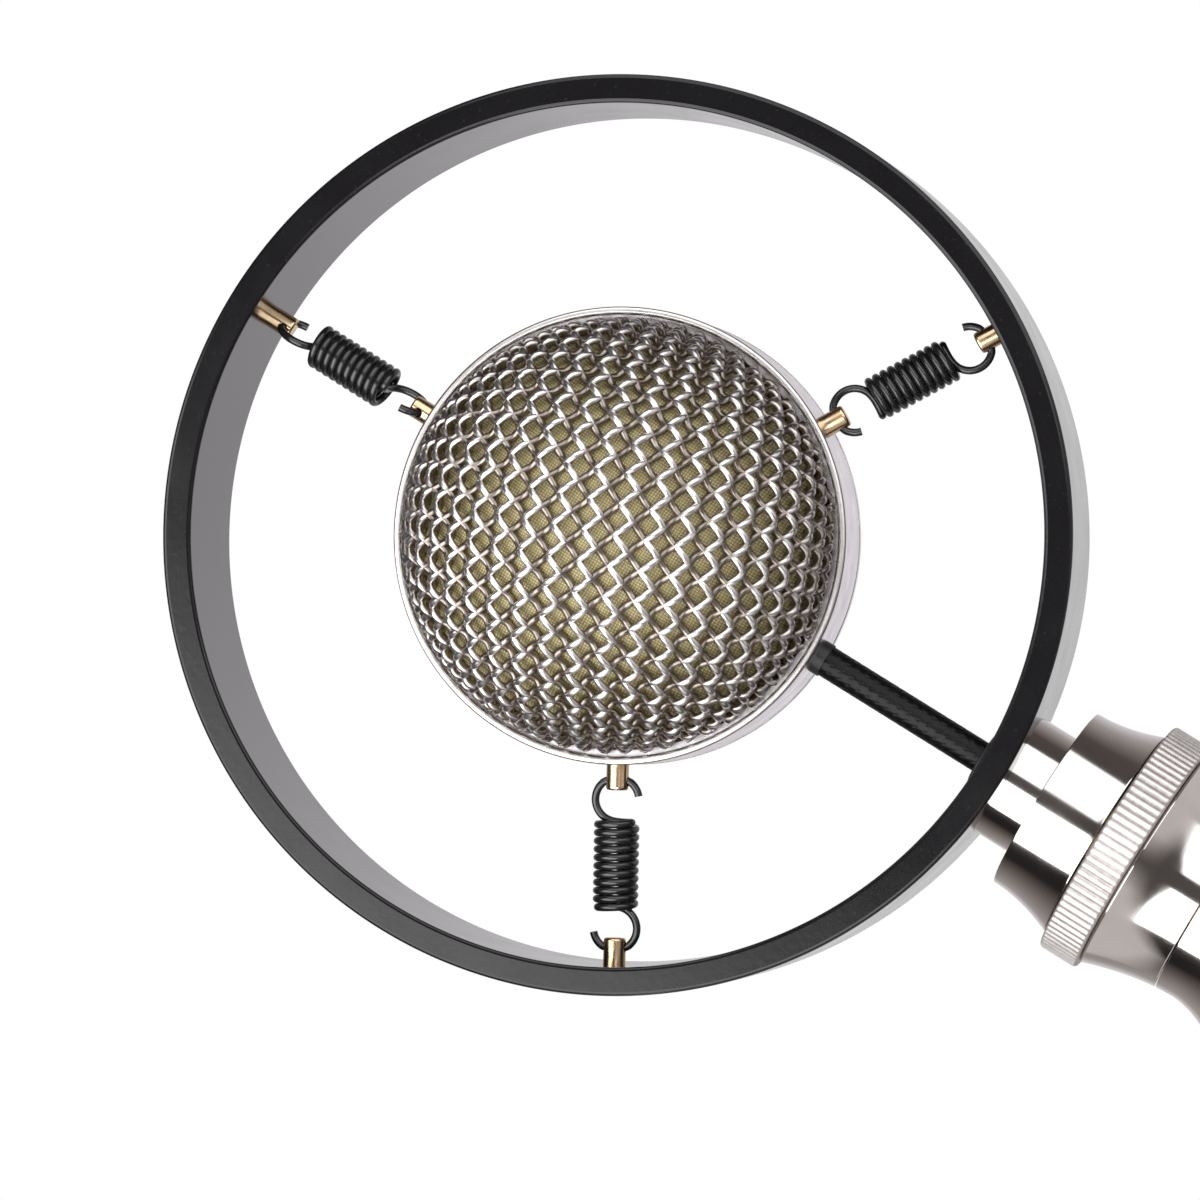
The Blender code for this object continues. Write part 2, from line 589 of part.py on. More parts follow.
def build_stand_mount():
    cheek_in = 6.6 * mm
    cheek_out = 11.6 * mm
    eye_r = 10 * mm
    neck = 12 * mm
    socket = rod("stand_fork", SOCKET_R, SOCKET_FOOT, neck, 36, 0.8 * mm)
    fork = add("stand_fork", socket, NICKEL)
    outline = [(-eye_r, neck - 4 * mm), (eye_r, neck - 4 * mm)]
    for i in range(13):
        angle = math.pi * i / 12
        outline.append((eye_r * math.cos(angle), PIVOT_HEIGHT + eye_r * math.sin(angle)))
    cheeks = add("fork_cheeks", extruded("fork_cheeks", outline, -cheek_out, cheek_out), None)
    # the cheeks are milled from the same bar, turned down a little above the socket
    bar = rod("fork_bar", SOCKET_R - 0.4 * mm, neck - 8 * mm, 60 * mm, 36)
    boolean(cheeks, add("fork_bar", bar, None), "INTERSECT")
    boolean(fork, cheeks, "UNION")
    floor = PIVOT_HEIGHT - 11 * mm
    slot = block("fork_slot", (2 * cheek_in, 30 * mm, 30 * mm))
    boolean(fork, add("fork_slot", slot, None, None, (0, 0, floor + 15 * mm)))
    # the bush's bore, round a boss whose end is the seat
    seat_r = 6.5 * mm
    bore = [(0, 0), (seat_r, 0), (seat_r, 0.8 * mm), (BUSH_BORE_R, 0.8 * mm), (BUSH_BORE_R, SOCKET_FOOT - 2 * mm),
            (0, SOCKET_FOOT - 2 * mm)]
    boolean(fork, add("fork_bore", turned("fork_bore", bore, 32), None))
    sideways = (0, math.pi / 2, 0)
    drill(fork, 3.3 * mm, -20 * mm, 20 * mm, TILT, (0, 0, 0), sideways, 24)

    bush = tube_outline(THREAD_R, BUSH_BORE_R - GAP, SOCKET_FOOT + 0.2 * mm, -GAP)
    add("thread_bush", turned("thread_bush", bush, 32), BRASS)

    bolt = [(0, -15.6 * mm), (5.0 * mm, -15.6 * mm), (5.5 * mm, -15.0 * mm), (5.5 * mm, -11.9 * mm),
            (3.0 * mm, -11.9 * mm), (3.0 * mm, 18 * mm), (0, 18 * mm)]
    add("tilt_bolt", turned("tilt_bolt", bolt, 20), GREY_CAN, TILT, (0, 0, 0), sideways)
    for name, low in (("right", 5.3 * mm), ("left", -6.3 * mm)):
        washer = tube_outline(3.3 * mm, 8 * mm, low, low + 1 * mm)
        add("friction_washer_" + name, turned("washer", washer, 20), WASHER_FIBRE, TILT, (0, 0, 0), sideways)

    lobes = 6

    def lobed(angle, row):
        return 1 + 0.09 * math.cos(lobes * angle) if row > 4 else 1

    knob = [(0, 19.5 * mm), (3.3 * mm, 19.5 * mm), (3.3 * mm, 12.0 * mm), (6 * mm, 12.0 * mm), (6 * mm, 14.2 * mm),
            (9.2 * mm, 14.8 * mm), (10.0 * mm, 15.8 * mm), (10.0 * mm, 21.2 * mm), (9.2 * mm, 22.4 * mm), (0, 22.4 * mm)]
    add("tilt_knob", turned("tilt_knob", knob, 30, lobed), BLACK_PLASTIC, TILT, (0, 0, 0), sideways)


build_ring()
build_neck()
build_lock_nut()
build_head_shell()
build_capsule()
build_springs()
build_signal_cable()
build_bells()
build_tube()
build_output_socket()
build_electronics()
build_lug()
build_stand_mount()
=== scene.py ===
import json
import math

import bmesh
import bpy
from mathutils import Matrix, Vector


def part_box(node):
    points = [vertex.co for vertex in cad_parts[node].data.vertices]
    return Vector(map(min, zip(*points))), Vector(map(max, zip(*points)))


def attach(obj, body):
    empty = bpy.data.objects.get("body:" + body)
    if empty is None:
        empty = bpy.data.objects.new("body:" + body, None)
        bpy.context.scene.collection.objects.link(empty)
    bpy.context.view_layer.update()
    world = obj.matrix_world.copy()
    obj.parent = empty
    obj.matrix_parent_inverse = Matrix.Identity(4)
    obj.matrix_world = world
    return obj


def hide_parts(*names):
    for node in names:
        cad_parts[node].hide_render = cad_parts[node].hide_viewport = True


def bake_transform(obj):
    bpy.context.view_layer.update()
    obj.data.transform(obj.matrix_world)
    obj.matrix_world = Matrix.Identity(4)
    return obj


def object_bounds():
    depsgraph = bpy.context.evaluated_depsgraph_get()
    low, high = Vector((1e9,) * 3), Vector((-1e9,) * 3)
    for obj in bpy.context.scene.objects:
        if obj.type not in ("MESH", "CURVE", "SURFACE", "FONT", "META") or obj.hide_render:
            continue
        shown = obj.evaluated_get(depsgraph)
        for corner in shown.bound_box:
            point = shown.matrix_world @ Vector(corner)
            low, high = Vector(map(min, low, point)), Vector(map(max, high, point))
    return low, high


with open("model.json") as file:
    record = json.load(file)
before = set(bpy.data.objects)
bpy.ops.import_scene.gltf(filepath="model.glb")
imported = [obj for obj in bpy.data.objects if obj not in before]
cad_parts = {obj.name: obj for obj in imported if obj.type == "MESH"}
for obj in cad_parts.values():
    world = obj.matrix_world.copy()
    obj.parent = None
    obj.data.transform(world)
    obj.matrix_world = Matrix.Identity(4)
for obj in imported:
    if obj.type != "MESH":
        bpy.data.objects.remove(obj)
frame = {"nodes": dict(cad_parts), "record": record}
cad_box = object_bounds()

mm = 0.001

# ---------------------------------------------------------------- places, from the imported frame

ring_low, ring_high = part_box("ring")
band_low, band_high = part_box("head_band")
bolt_low, bolt_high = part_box("tilt_bolt")

RING_R = (ring_high.x - ring_low.x) / 2
RING_WIDTH = ring_high.y - ring_low.y
HEAD_R = (band_high.x - band_low.x) / 2
CENTRE = (ring_low + ring_high) / 2

UP = Matrix.Translation(CENTRE)                         # local Z up the neck, from the ring's centre
FORWARD = UP @ Matrix.Rotation(math.pi / 2, 4, "X")     # local Z out of the front, local Y up
STAND = Matrix.Identity(4)
PIVOT = Vector((0, (bolt_low.y + bolt_high.y) / 2, (bolt_low.z + bolt_high.z) / 2))
ACROSS = Matrix.Translation(PIVOT) @ Matrix.Rotation(math.pi / 2, 4, "Y")   # local Z along +X at the pivot

# ---------------------------------------------------------------- driving dimensions

CREASE = 35               # degrees: a sharper edge than this is shaded sharp
RING_CREASE = 8           # the same for the ring, whose flats stay flat beside their rounded edges
HOLD = 0.04 * mm          # a row of points this close to a rounded edge keeps the flat beside it flat
CLEAR = 0.12 * mm         # gap that shows as a seam between neighbours

RING_WALL = 3.175 * mm
RING_INNER = RING_R - RING_WALL
HEAD_FRONT = CENTRE.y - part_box("front_bezel")[0].y
HEAD_BACK = CENTRE.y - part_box("rear_bezel")[1].y
BEZEL_DEPTH = 1.5 * mm
BEZEL_WALL = 0.9 * mm

MESH_R = 23.4 * mm        # sphere through the middle of the woven grille
MESH_PITCH = 2.39 * mm
GRILLE_SEAT = 0.7 * mm    # centre of each grille dome, inside its bezel's outer edge
MESH_WIRE_R = 0.44 * mm
MESH_TURN = -23.7         # degrees from the horizontal to the first family of wires
SCREEN_R = 22.5 * mm

SPRING_WIRE_R = 0.44 * mm
COIL_R = 2.125 * mm
COIL_PITCH = 0.925 * mm
COIL_TURNS = 10.3
HOOK_R = 2.45 * mm
PIN_R = 1.25 * mm
PIN_TIP = 1.05 * mm
PIN_HOLE_R = 0.6 * mm
RING_PIN_HOLE = 1.9 * mm  # hole in a ring pin, from the ring's inner wall
HEAD_PIN_HOLE = 1.8 * mm  # hole in a head pin, from the head's band
HEAD_PINS = 1.5 * mm      # head pins, forward of the ring pins
SPRING_RUN = RING_INNER - RING_PIN_HOLE - HEAD_R - HEAD_PIN_HOLE
SPRING_LENGTH = math.hypot(SPRING_RUN, HEAD_PINS)
# angle on the ring, turn of the hooks
SPRING_PLACES = {"top": (90, -68), "right": (-30, 180), "left": (210, 0)}

CABLE_R = 1.8 * mm
CABLE_BORE_R = CABLE_R + 0.02 * mm

# heights on the neck and body, measured down from the ring's centre
NIPPLE_R = 7.3 * mm
ADAPTOR_TOP = 55.1 * mm
ADAPTOR_END = 62.8 * mm
NUT_TOP = 63.1 * mm
NUT_END = 67.7 * mm
NUT_R = 14.2 * mm
NUT_TOOTH = 0.09 * mm      # half the depth of the knurl
BELL_TOP = 68.0 * mm
SEAM = 76.2 * mm
WAIST = 78.3 * mm
WAIST_R = 11.2 * mm
TUBE_R = 17.5 * mm
TUBE_WALL = 1.6 * mm
TUBE_TOP = 95.0 * mm
TUBE_END = 160.0 * mm
CAP_END = 178.0 * mm

LUG_HALF = 5 * mm         # half the tilt lug's thickness
BOLT_HOLE_R = 3.15 * mm
SOCKET_R = 12.5 * mm
THREAD_R = 7.4 * mm
THREAD_PITCH = 0.94 * mm

# ---------------------------------------------------------------- material nodes


class Surface:
    """A Principled material with small helpers for its pattern.

    Sizes are in metres. Every mesh is placed by its points, so object coordinates are world
    coordinates with the part at rest.
    """

    def __init__(self, name, colour, roughness, metallic=0.0):
        self.material = bpy.data.materials.new(name)
        self.material.use_nodes = True
        self.tree = self.material.node_tree
        self.shader = self.tree.nodes["Principled BSDF"]
        self.shader.inputs["Base Color"].default_value = (*colour, 1)
        self.shader.inputs["Roughness"].default_value = roughness
        self.shader.inputs["Metallic"].default_value = metallic
        self.place = self.tree.nodes.new("ShaderNodeTexCoord").outputs["Object"]
        self.normal = None

    def node(self, kind, inputs=(), **settings):
        made = self.tree.nodes.new(kind)
        for key, value in settings.items():
            setattr(made, key, value)
        for key, value in dict(inputs).items():
            if isinstance(value, bpy.types.NodeSocket):
                self.tree.links.new(value, made.inputs[key])
            else:
                made.inputs[key].default_value = value
        return made

    def scaled(self, stretch):
        return self.node("ShaderNodeMapping", {"Vector": self.place, "Scale": stretch}).outputs["Vector"]

    def noise(self, size, detail=3.0, stretch=(1, 1, 1)):
        where = self.scaled(stretch)
        made = self.node("ShaderNodeTexNoise", {"Vector": where, "Scale": 1 / size, "Detail": detail})
        return made.outputs["Fac"]

    def spread(self, value, low, high, start=0.3, end=0.7):
        """Value from start to end becomes low to high."""
        made = self.node("ShaderNodeMapRange", {"Value": value, "From Min": start, "From Max": end,
                                                "To Min": low, "To Max": high})
        return made.outputs["Result"]

    def maths(self, operation, first, second=0.5):
        return self.node("ShaderNodeMath", {0: first, 1: second}, operation=operation).outputs[0]

    def added(self, first, second):
        """Sum of two values, kept between 0 and 1."""
        inputs = {0: first, 1: second}
        return self.node("ShaderNodeMath", inputs, operation="ADD", use_clamp=True).outputs[0]

    def vector(self, operation, *values):
        return self.node("ShaderNodeVectorMath", dict(enumerate(values)), operation=operation)

    def between(self, share, first, second):
        """Colour between first at share 0 and second at share 1."""
        made = self.node("ShaderNodeMix", data_type="RGBA")
        self.tree.links.new(share, made.inputs["Factor"])
        made.inputs[6].default_value = (*first, 1)
        made.inputs[7].default_value = (*second, 1)
        return made.outputs[2]

    def colour(self, socket):
        self.tree.links.new(socket, self.shader.inputs["Base Color"])
        return self

    def roughness(self, socket):
        self.tree.links.new(socket, self.shader.inputs["Roughness"])
        return self

    def bump(self, height, depth):
        inputs = {"Height": height, "Distance": depth, "Strength": 1.0}
        if self.normal:
            inputs["Normal"] = self.normal
        self.normal = self.node("ShaderNodeBump", inputs).outputs["Normal"]
        self.tree.links.new(self.normal, self.shader.inputs["Normal"])
        return self

    def from_axis(self):
        """Distance from the microphone's own upright axis."""
        away = self.vector("SUBTRACT", self.place, tuple(CENTRE)).outputs[0]
        level = self.vector("MULTIPLY", away, (1, 1, 0)).outputs[0]
        return self.vector("LENGTH", level).outputs["Value"]

    def in_dome(self):
        """Place from the centre of the nearer grille dome, Y along the head's axis, all positive."""
        front = CENTRE.y - HEAD_FRONT + GRILLE_SEAT
        rear = CENTRE.y - HEAD_BACK - GRILLE_SEAT
        middle = (CENTRE.x, (front + rear) / 2, CENTRE.z)
        away = self.vector("SUBTRACT", self.place, middle).outputs[0]
        mirrored = self.vector("ABSOLUTE", away).outputs[0]
        half_gap = (0, (rear - front) / 2, 0)
        return self.vector("SUBTRACT", mirrored, half_gap).outputs[0]

    def from_dome_centre(self):
        return self.vector("LENGTH", self.in_dome()).outputs["Value"]

    def height_above_rim(self):
        return self.node("ShaderNodeSeparateXYZ", {0: self.in_dome()}).outputs["Y"]

    def reflectance(self, level):
        self.shader.inputs["Specular IOR Level"].default_value = level


def turning_marks(surface, size, depth, axis="Z"):
    """Fine lines left by turning round an axis."""
    stretch = {"X": (1, 0.01, 0.01), "Y": (0.01, 1, 0.01), "Z": (0.01, 0.01, 1)}[axis]
    return surface.bump(surface.noise(size, 2, stretch), depth)


def black_enamel():
    made = Surface("black enamel", (0.007, 0.006, 0.007), 0.15)
    made.reflectance(0.46)
    made.roughness(made.spread(made.noise(6 * mm), 0.13, 0.17))
    specks = made.spread(made.noise(0.5 * mm, 5), 0, 1, 0.62, 0.72)
    made.colour(made.between(specks, (0.006, 0.0055, 0.0065), (0.020, 0.018, 0.020)))
    return made.bump(made.noise(0.9 * mm), 0.004 * mm).material


def polished_nickel():
    made = Surface("polished nickel", (0.80, 0.76, 0.74), 0.09, 1.0)
    cloudy = made.noise(7 * mm, 4)
    made.roughness(made.spread(cloudy, 0.07, 0.13))
    made.colour(made.between(made.spread(cloudy, 0, 1), (0.82, 0.78, 0.76), (0.74, 0.70, 0.68)))
    return turning_marks(made, 0.12 * mm, 0.0012 * mm).material


def dull_nickel_groove_shade():
    """The nut's knurl: fine teeth that spread the light, with painted shade darkening their grooves and
    patchy tone.
    """
    made = Surface("dull nickel", (0.78, 0.75, 0.74), 0.4, 0.55)
    made.roughness(made.spread(made.noise(2 * mm, 4), 0.34, 0.46))
    # painted shade: the colour darkens towards the bottom of the knurl's teeth, by distance from the axis
    groove = made.spread(made.from_axis(), 0, 1, NUT_R - 2 * NUT_TOOTH, NUT_R - 0.4 * NUT_TOOTH)
    patchy = made.spread(made.noise(0.7 * mm, 5), -0.2, 0.2)
    made.colour(made.between(made.added(groove, patchy), (0.40, 0.36, 0.35), (0.84, 0.80, 0.79)))
    return made.bump(made.noise(0.1 * mm), 0.003 * mm).material


def satin_band():
    made = Surface("satin band metal", (0.86, 0.84, 0.87), 0.28, 1.0)
    made.roughness(made.spread(made.noise(3 * mm, 4), 0.24, 0.34))
    return turning_marks(made, 0.1 * mm, 0.004 * mm, "Y").material


def polished_rim():
    made = Surface("polished rim", (0.84, 0.81, 0.80), 0.3, 1.0)
    made.roughness(made.spread(made.noise(4 * mm, 4), 0.25, 0.34))
    return turning_marks(made, 0.12 * mm, 0.001 * mm, "Y").material


def woven_steel():
    """Bright where a wire passes over, with painted shade where it dips under its neighbours and towards the
    dome's rim.
    """
    made = Surface("woven steel wire", (0.82, 0.78, 0.77), 0.3, 1.0)
    from_middle = made.from_dome_centre()
    # painted shade: the wire's colour darkens where it dips below the middle of the weave
    lit_where_raised = made.spread(from_middle, 0, 1, MESH_R + 0.32 * mm, MESH_R + 0.62 * mm)
    # painted shade: the wire's colour also darkens towards the dome's rim
    lit_away_from_rim = made.spread(made.height_above_rim(), 0.25, 1, 1 * mm, 12 * mm)
    height = made.maths("MULTIPLY", lit_where_raised, lit_away_from_rim)
    patchy = made.spread(made.noise(1.2 * mm, 4), -0.15, 0.15)
    made.colour(made.between(made.added(height, patchy), (0.33, 0.285, 0.25), (1.0, 0.97, 0.97)))
    made.roughness(made.spread(made.noise(0.8 * mm), 0.26, 0.36))
    return made.material


def fine_brass_screen():
    """Plain weave of very fine wire, as a bump and a colour pattern over the dome, the colour darker in the
    weave's dips as painted shade.
    """
    made = Surface("fine brass screen", (0.40, 0.34, 0.15), 0.5, 0.25)
    pitch = 0.32 * mm
    axes = made.node("ShaderNodeSeparateXYZ", {"Vector": made.scaled((math.pi / pitch,) * 3)})
    across = made.maths("SINE", axes.outputs["X"])
    along = made.maths("SINE", axes.outputs["Z"])
    weave = made.maths("ABSOLUTE", made.maths("MULTIPLY", across, along))
    height = made.spread(weave, 0, 1, 0, 0.8)
    patchy = made.maths("MULTIPLY", height, made.spread(made.noise(5 * mm, 4), 0.75, 1.0))
    # painted shade: the colour darkens with the weave's height, in the dips between the fine wires
    made.colour(made.between(patchy, (0.31, 0.26, 0.115), (0.80, 0.69, 0.38)))
    return made.bump(height, 0.05 * mm).material


def turned_brass():
    made = Surface("turned brass", (0.80, 0.55, 0.27), 0.22, 1.0)
    tarnish = made.spread(made.noise(2.5 * mm, 3), 0, 1, 0.4, 0.8)
    made.colour(made.between(tarnish, (0.88, 0.66, 0.42), (0.70, 0.48, 0.27)))
    made.roughness(made.spread(tarnish, 0.2, 0.32, 0, 1))
    return made.bump(made.noise(0.3 * mm), 0.002 * mm).material


def spring_steel():
    made = Surface("black oxide wire", (0.012, 0.012, 0.013), 0.26)
    made.reflectance(0.8)
    made.roughness(made.spread(made.noise(0.9 * mm, 4), 0.14, 0.24))
    return made.bump(made.noise(0.12 * mm), 0.004 * mm).material


def braided_sleeve():
    made = Surface("braided sleeve", (0.004, 0.004, 0.0045), 0.32)
    made.reflectance(0.22)
    made.roughness(made.spread(made.noise(0.5 * mm), 0.26, 0.38))
    return made.bump(made.noise(0.07 * mm, 2, (1, 1, 0.2)), 0.003 * mm).material


def moulded_plastic():
    made = Surface("black moulded plastic", (0.018, 0.018, 0.019), 0.42)
    made.roughness(made.spread(made.noise(2 * mm, 4), 0.36, 0.5))
    return made.bump(made.noise(0.25 * mm, 4), 0.012 * mm).material


def gold_film():
    made = Surface("gold film", (0.85, 0.62, 0.25), 0.16, 1.0)
    made.roughness(made.spread(made.noise(2 * mm), 0.12, 0.22))
    return made.bump(made.noise(4 * mm), 0.01 * mm).material


def solder_mask():
    made = Surface("green board", (0.02, 0.12, 0.05), 0.35)
    traces = made.spread(made.noise(1.6 * mm, 1, (1, 1, 0.15)), 0, 1, 0.52, 0.54)
    made.colour(made.between(traces, (0.012, 0.10, 0.04), (0.03, 0.19, 0.08)))
    return made.bump(traces, 0.03 * mm).material


def grey_steel():
    made = Surface("plain grey steel", (0.40, 0.40, 0.42), 0.32, 1.0)
    mottled = made.noise(1.8 * mm, 5)
    made.colour(made.between(made.spread(mottled, 0, 1), (0.46, 0.46, 0.48), (0.33, 0.33, 0.35)))
    made.roughness(made.spread(mottled, 0.26, 0.42))
    return made.bump(made.noise(0.2 * mm), 0.004 * mm).material


def dipped_red():
    made = Surface("dipped red film", (0.36, 0.03, 0.02), 0.28)
    made.roughness(made.spread(made.noise(3 * mm), 0.22, 0.36))
    return made.bump(made.noise(3 * mm), 0.05 * mm).material


def fibre():
    made = Surface("dark fibre", (0.08, 0.05, 0.03), 0.72)
    strands = made.noise(0.4 * mm, 5, (1, 1, 0.3))
    made.colour(made.between(made.spread(strands, 0, 1), (0.05, 0.03, 0.018), (0.14, 0.09, 0.05)))
    return made.bump(strands, 0.03 * mm).material


SLOTS = {
    "black_steel": black_enamel(), "nickel": polished_nickel(), "band_metal": satin_band(),
    "woven_steel": woven_steel(), "fine_brass": fine_brass_screen(), "brass": turned_brass(),
    "spring_steel": spring_steel(), "cable_braid": braided_sleeve(), "black_plastic": moulded_plastic(),
    "gold_film": gold_film(), "board_green": solder_mask(), "grey_can": grey_steel(),
    "capacitor_red": dipped_red(), "washer_fibre": fibre(),
}
RIM = polished_rim()
KNURL = dull_nickel_groove_shade()

# ---------------------------------------------------------------- mesh helpers


def mesh_of(name, points, faces, crease=CREASE):
    mesh = bpy.data.meshes.new(name)
    mesh.from_pydata(points, [], faces)
    bm = bmesh.new()
    bm.from_mesh(mesh)
    bmesh.ops.recalc_face_normals(bm, faces=bm.faces)
    bm.to_mesh(mesh)
    bm.free()
    mesh.shade_smooth()
    mesh.set_sharp_from_angle(angle=math.radians(crease))
    return mesh


def turned(name, outline, steps=128, shape=None):
    """Turn an outline of (radius, height) points round Z. A point at radius 0 closes the end.

    shape(angle, radius, height) gives the radius and height at that angle.
    """
    points = []
    rows = []
    for radius, height in outline:
        if radius == 0:
            points.append((0, 0, height))
            rows.append([len(points) - 1] * steps)
            continue
        rows.append(list(range(len(points), len(points) + steps)))
        for step in range(steps):
            angle = 2 * math.pi * step / steps
            r, z = shape(angle, radius, height) if shape else (radius, height)
            points.append((r * math.cos(angle), r * math.sin(angle), z))
    pairs = list(zip(rows, rows[1:]))
    if outline[0][0] != 0:
        pairs.append((rows[-1], rows[0]))
    faces = []
    for low, high in pairs:
        for k in range(steps):
            after = (k + 1) % steps
            corners = [low[k], low[after], high[after], high[k]]
            corners = [v for i, v in enumerate(corners) if v not in corners[:i]]
            if len(corners) > 2:
                faces.append(corners)
    return mesh_of(name, points, faces)


def rounded(outline, radius, steps=4):
    """Round the corners of an outline.

    An entry (r, z) or (r, z, own radius) is a corner; own radius 0 keeps it sharp.
    """
    count = len(outline)
    closed = outline[0][0] != 0
    made = []
    for i, corner in enumerate(outline):
        here = Vector(corner[:2])
        size = corner[2] if len(corner) > 2 else radius
        at_end = not closed and i in (0, count - 1)
        if at_end or size == 0:
            made.append(tuple(here))
            continue
        before = Vector(outline[i - 1][:2]) - here
        after = Vector(outline[(i + 1) % count][:2]) - here
        size = min(size, before.length * 0.45, after.length * 0.45)
        start = here + before.normalized() * size
        end = here + after.normalized() * size
        made.append(tuple(start + before.normalized() * min(HOLD, 0.04 * before.length)))
        for k in range(steps + 1):
            t = k / steps
            made.append(tuple((1 - t) ** 2 * start + 2 * t * (1 - t) * here + t * t * end))
        made.append(tuple(end + after.normalized() * min(HOLD, 0.04 * after.length)))
    return made


def sleeve(inner, outer, low, high, edge=0.0):
    outline = [(outer, low), (outer, high), (inner, high), (inner, low)]
    return rounded(outline, edge) if edge else outline


def rod(radius, low, high):
    return [(0, low), (radius, low), (radius, high), (0, high)]


def bar(radius, low, high, edge=0.2 * mm):
    return rounded(rod(radius, low, high), edge)


def along(path, radius, sides):
    """Points and faces of a round wire along a list of points."""
    points = []
    faces = []
    side = (path[1] - path[0]).orthogonal().normalized()
    for i, point in enumerate(path):
        ahead = (path[min(i + 1, len(path) - 1)] - path[max(i - 1, 0)]).normalized()
        side = (side - side.dot(ahead) * ahead).normalized()
        other = ahead.cross(side)
        for k in range(sides):
            angle = 2 * math.pi * k / sides
            points.append(point + radius * (math.cos(angle) * side + math.sin(angle) * other))
    for i in range(len(path) - 1):
        low = i * sides
        for k in range(sides):
            after = (k + 1) % sides
            faces.append((low + k, low + after, low + sides + after, low + sides + k))
    faces.append(tuple(range(sides)))
    faces.append(tuple(range(len(points) - sides, len(points))))
    return points, faces


def joined(name, parts):
    """One mesh of wires from several (points, faces) pairs."""
    crease = 60
    points = []
    faces = []
    for more_points, more_faces in parts:
        first = len(points)
        points.extend(more_points)
        faces.extend(tuple(v + first for v in face) for face in more_faces)
    return mesh_of(name, points, faces, crease)


def slab(name, outline, low, high):
    """A flat outline of (y, z) points extruded along X."""
    points = [(x, y, z) for x in (low, high) for y, z in outline]
    count = len(outline)
    faces = [tuple(range(count)), tuple(range(2 * count - 1, count - 1, -1))]
    for k in range(count):
        after = (k + 1) % count
        faces.append((k, after, count + after, count + k))
    return mesh_of(name, points, faces)


def block(name, low, high):
    outline = [(low[1], low[2]), (high[1], low[2]), (high[1], high[2]), (low[1], high[2])]
    return slab(name, outline, low[0], high[0])


def linked(name, data):
    """A new object in the scene."""
    made = bpy.data.objects.new(name, data)
    bpy.context.scene.collection.objects.link(made)
    return made


def baked(target):
    """The mesh of an object with its modifiers applied; the object goes."""
    bpy.context.view_layer.update()
    made = bpy.data.meshes.new_from_object(target.evaluated_get(bpy.context.evaluated_depsgraph_get()))
    bpy.data.objects.remove(target, do_unlink=True)
    return made


def place(name, mesh, slot, body, nodes=(), where=UP, material=None):
    """Put a mesh on its body and hide the CAD nodes it stands for."""
    mesh.transform(where)
    mesh.materials.append(material or SLOTS[slot])
    made = linked(name, mesh)
    if body:
        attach(made, body)
    if nodes:
        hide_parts(*nodes)
    return made


def cut(mesh, cutters, operation="DIFFERENCE"):
    """The mesh after exact booleans with a list of cutter meshes."""
    target = linked("target", mesh)
    tools = []
    for cutter in cutters:
        tool = linked("cutter", cutter)
        modifier = target.modifiers.new("cut", "BOOLEAN")
        modifier.operation = operation
        modifier.object = tool
        tools.append(tool)
    made = baked(target)
    for tool in tools:
        bpy.data.objects.remove(tool, do_unlink=True)
    made.shade_smooth()
    made.set_sharp_from_angle(angle=math.radians(CREASE))
    return made


def softened(mesh, width):
    """The mesh with its sharp edges bevelled."""
    target = linked("target", mesh)
    modifier = target.modifiers.new("edges", "BEVEL")
    modifier.width = width
    modifier.segments = 3
    modifier.limit_method = "ANGLE"
    modifier.angle_limit = math.radians(CREASE)
    modifier.harden_normals = True
    return baked(target)


def radial(angle_deg, radius):
    """Place on the head's axis plane whose local Z points inward from that angle, and local Y forward."""
    angle = math.radians(angle_deg)
    inward = Vector((-math.cos(angle), -math.sin(angle), 0))
    forward = Vector((0, 0, 1))
    turn = Matrix((forward.cross(inward), forward, inward)).transposed().to_4x4()
    return FORWARD @ Matrix.Translation(inward * -radius) @ turn


def moved(mesh, matrix):
    mesh.transform(matrix)
    return mesh


# ---------------------------------------------------------------- camera, light and floor


def build_camera():
    """Camera in front of the ring, rolled so that the neck runs off to the lower right."""
    roll = math.radians(58.25)
    up = Vector((math.sin(roll), 0, math.cos(roll)))
    right = Vector((math.cos(roll), 0, -math.sin(roll)))
    away = Vector((0, 1, 0))
    azimuth = math.radians(9.604)
    below = math.radians(1.122)
    distance = 0.722
    level = right * math.sin(azimuth) - away * math.cos(azimuth)
    back = level * math.cos(below) - up * math.sin(below)
    across = right * math.cos(azimuth) + away * math.sin(azimuth)
    top = back.cross(across)
    front = CENTRE - away * RING_WIDTH / 2
    aim_left = 1.35 * mm
    aim_down = 7.22 * mm
    aim = front - across * aim_left - top * aim_down
    data = bpy.data.cameras.new("camera")
    data.lens = 196.8
    data.sensor_width = 36
    camera = linked("camera", data)
    turn = Matrix((across, top, back)).transposed().to_4x4()
    camera.matrix_world = Matrix.Translation(aim + back * distance) @ turn
    bpy.context.scene.camera = camera


def softbox(name, left_deg, right_deg, brightness):
    """A rectangular light panel from left_deg to right_deg round the neck: 0 is in front, + to +X."""
    distance = 0.95
    low_deg = -24.5
    high_deg = 50
    aimed_at = CENTRE - Vector((0, 0, 65 * mm))
    middle = math.radians((left_deg + right_deg) / 2)
    toward = Vector((math.sin(middle), -math.cos(middle), 0))
    width = 2 * distance * math.tan(math.radians(right_deg - left_deg) / 2)
    low = distance * math.tan(math.radians(low_deg))
    high = distance * math.tan(math.radians(high_deg))
    data = bpy.data.lights.new(name, "AREA")
    data.shape = "RECTANGLE"
    data.size = width
    data.size_y = high - low
    data.energy = brightness * math.pi * width * (high - low)
    lamp = linked(name, data)
    lamp.location = aimed_at + toward * distance + Vector((0, 0, (low + high) / 2))
    lamp.rotation_euler = (math.pi / 2, 0, middle)
    lamp.visible_camera = False


def build_lights():
    softbox("panel right", 11.1, 68.0, 1.6)
    softbox("panel left", -61.7, -8.2, 3.4)


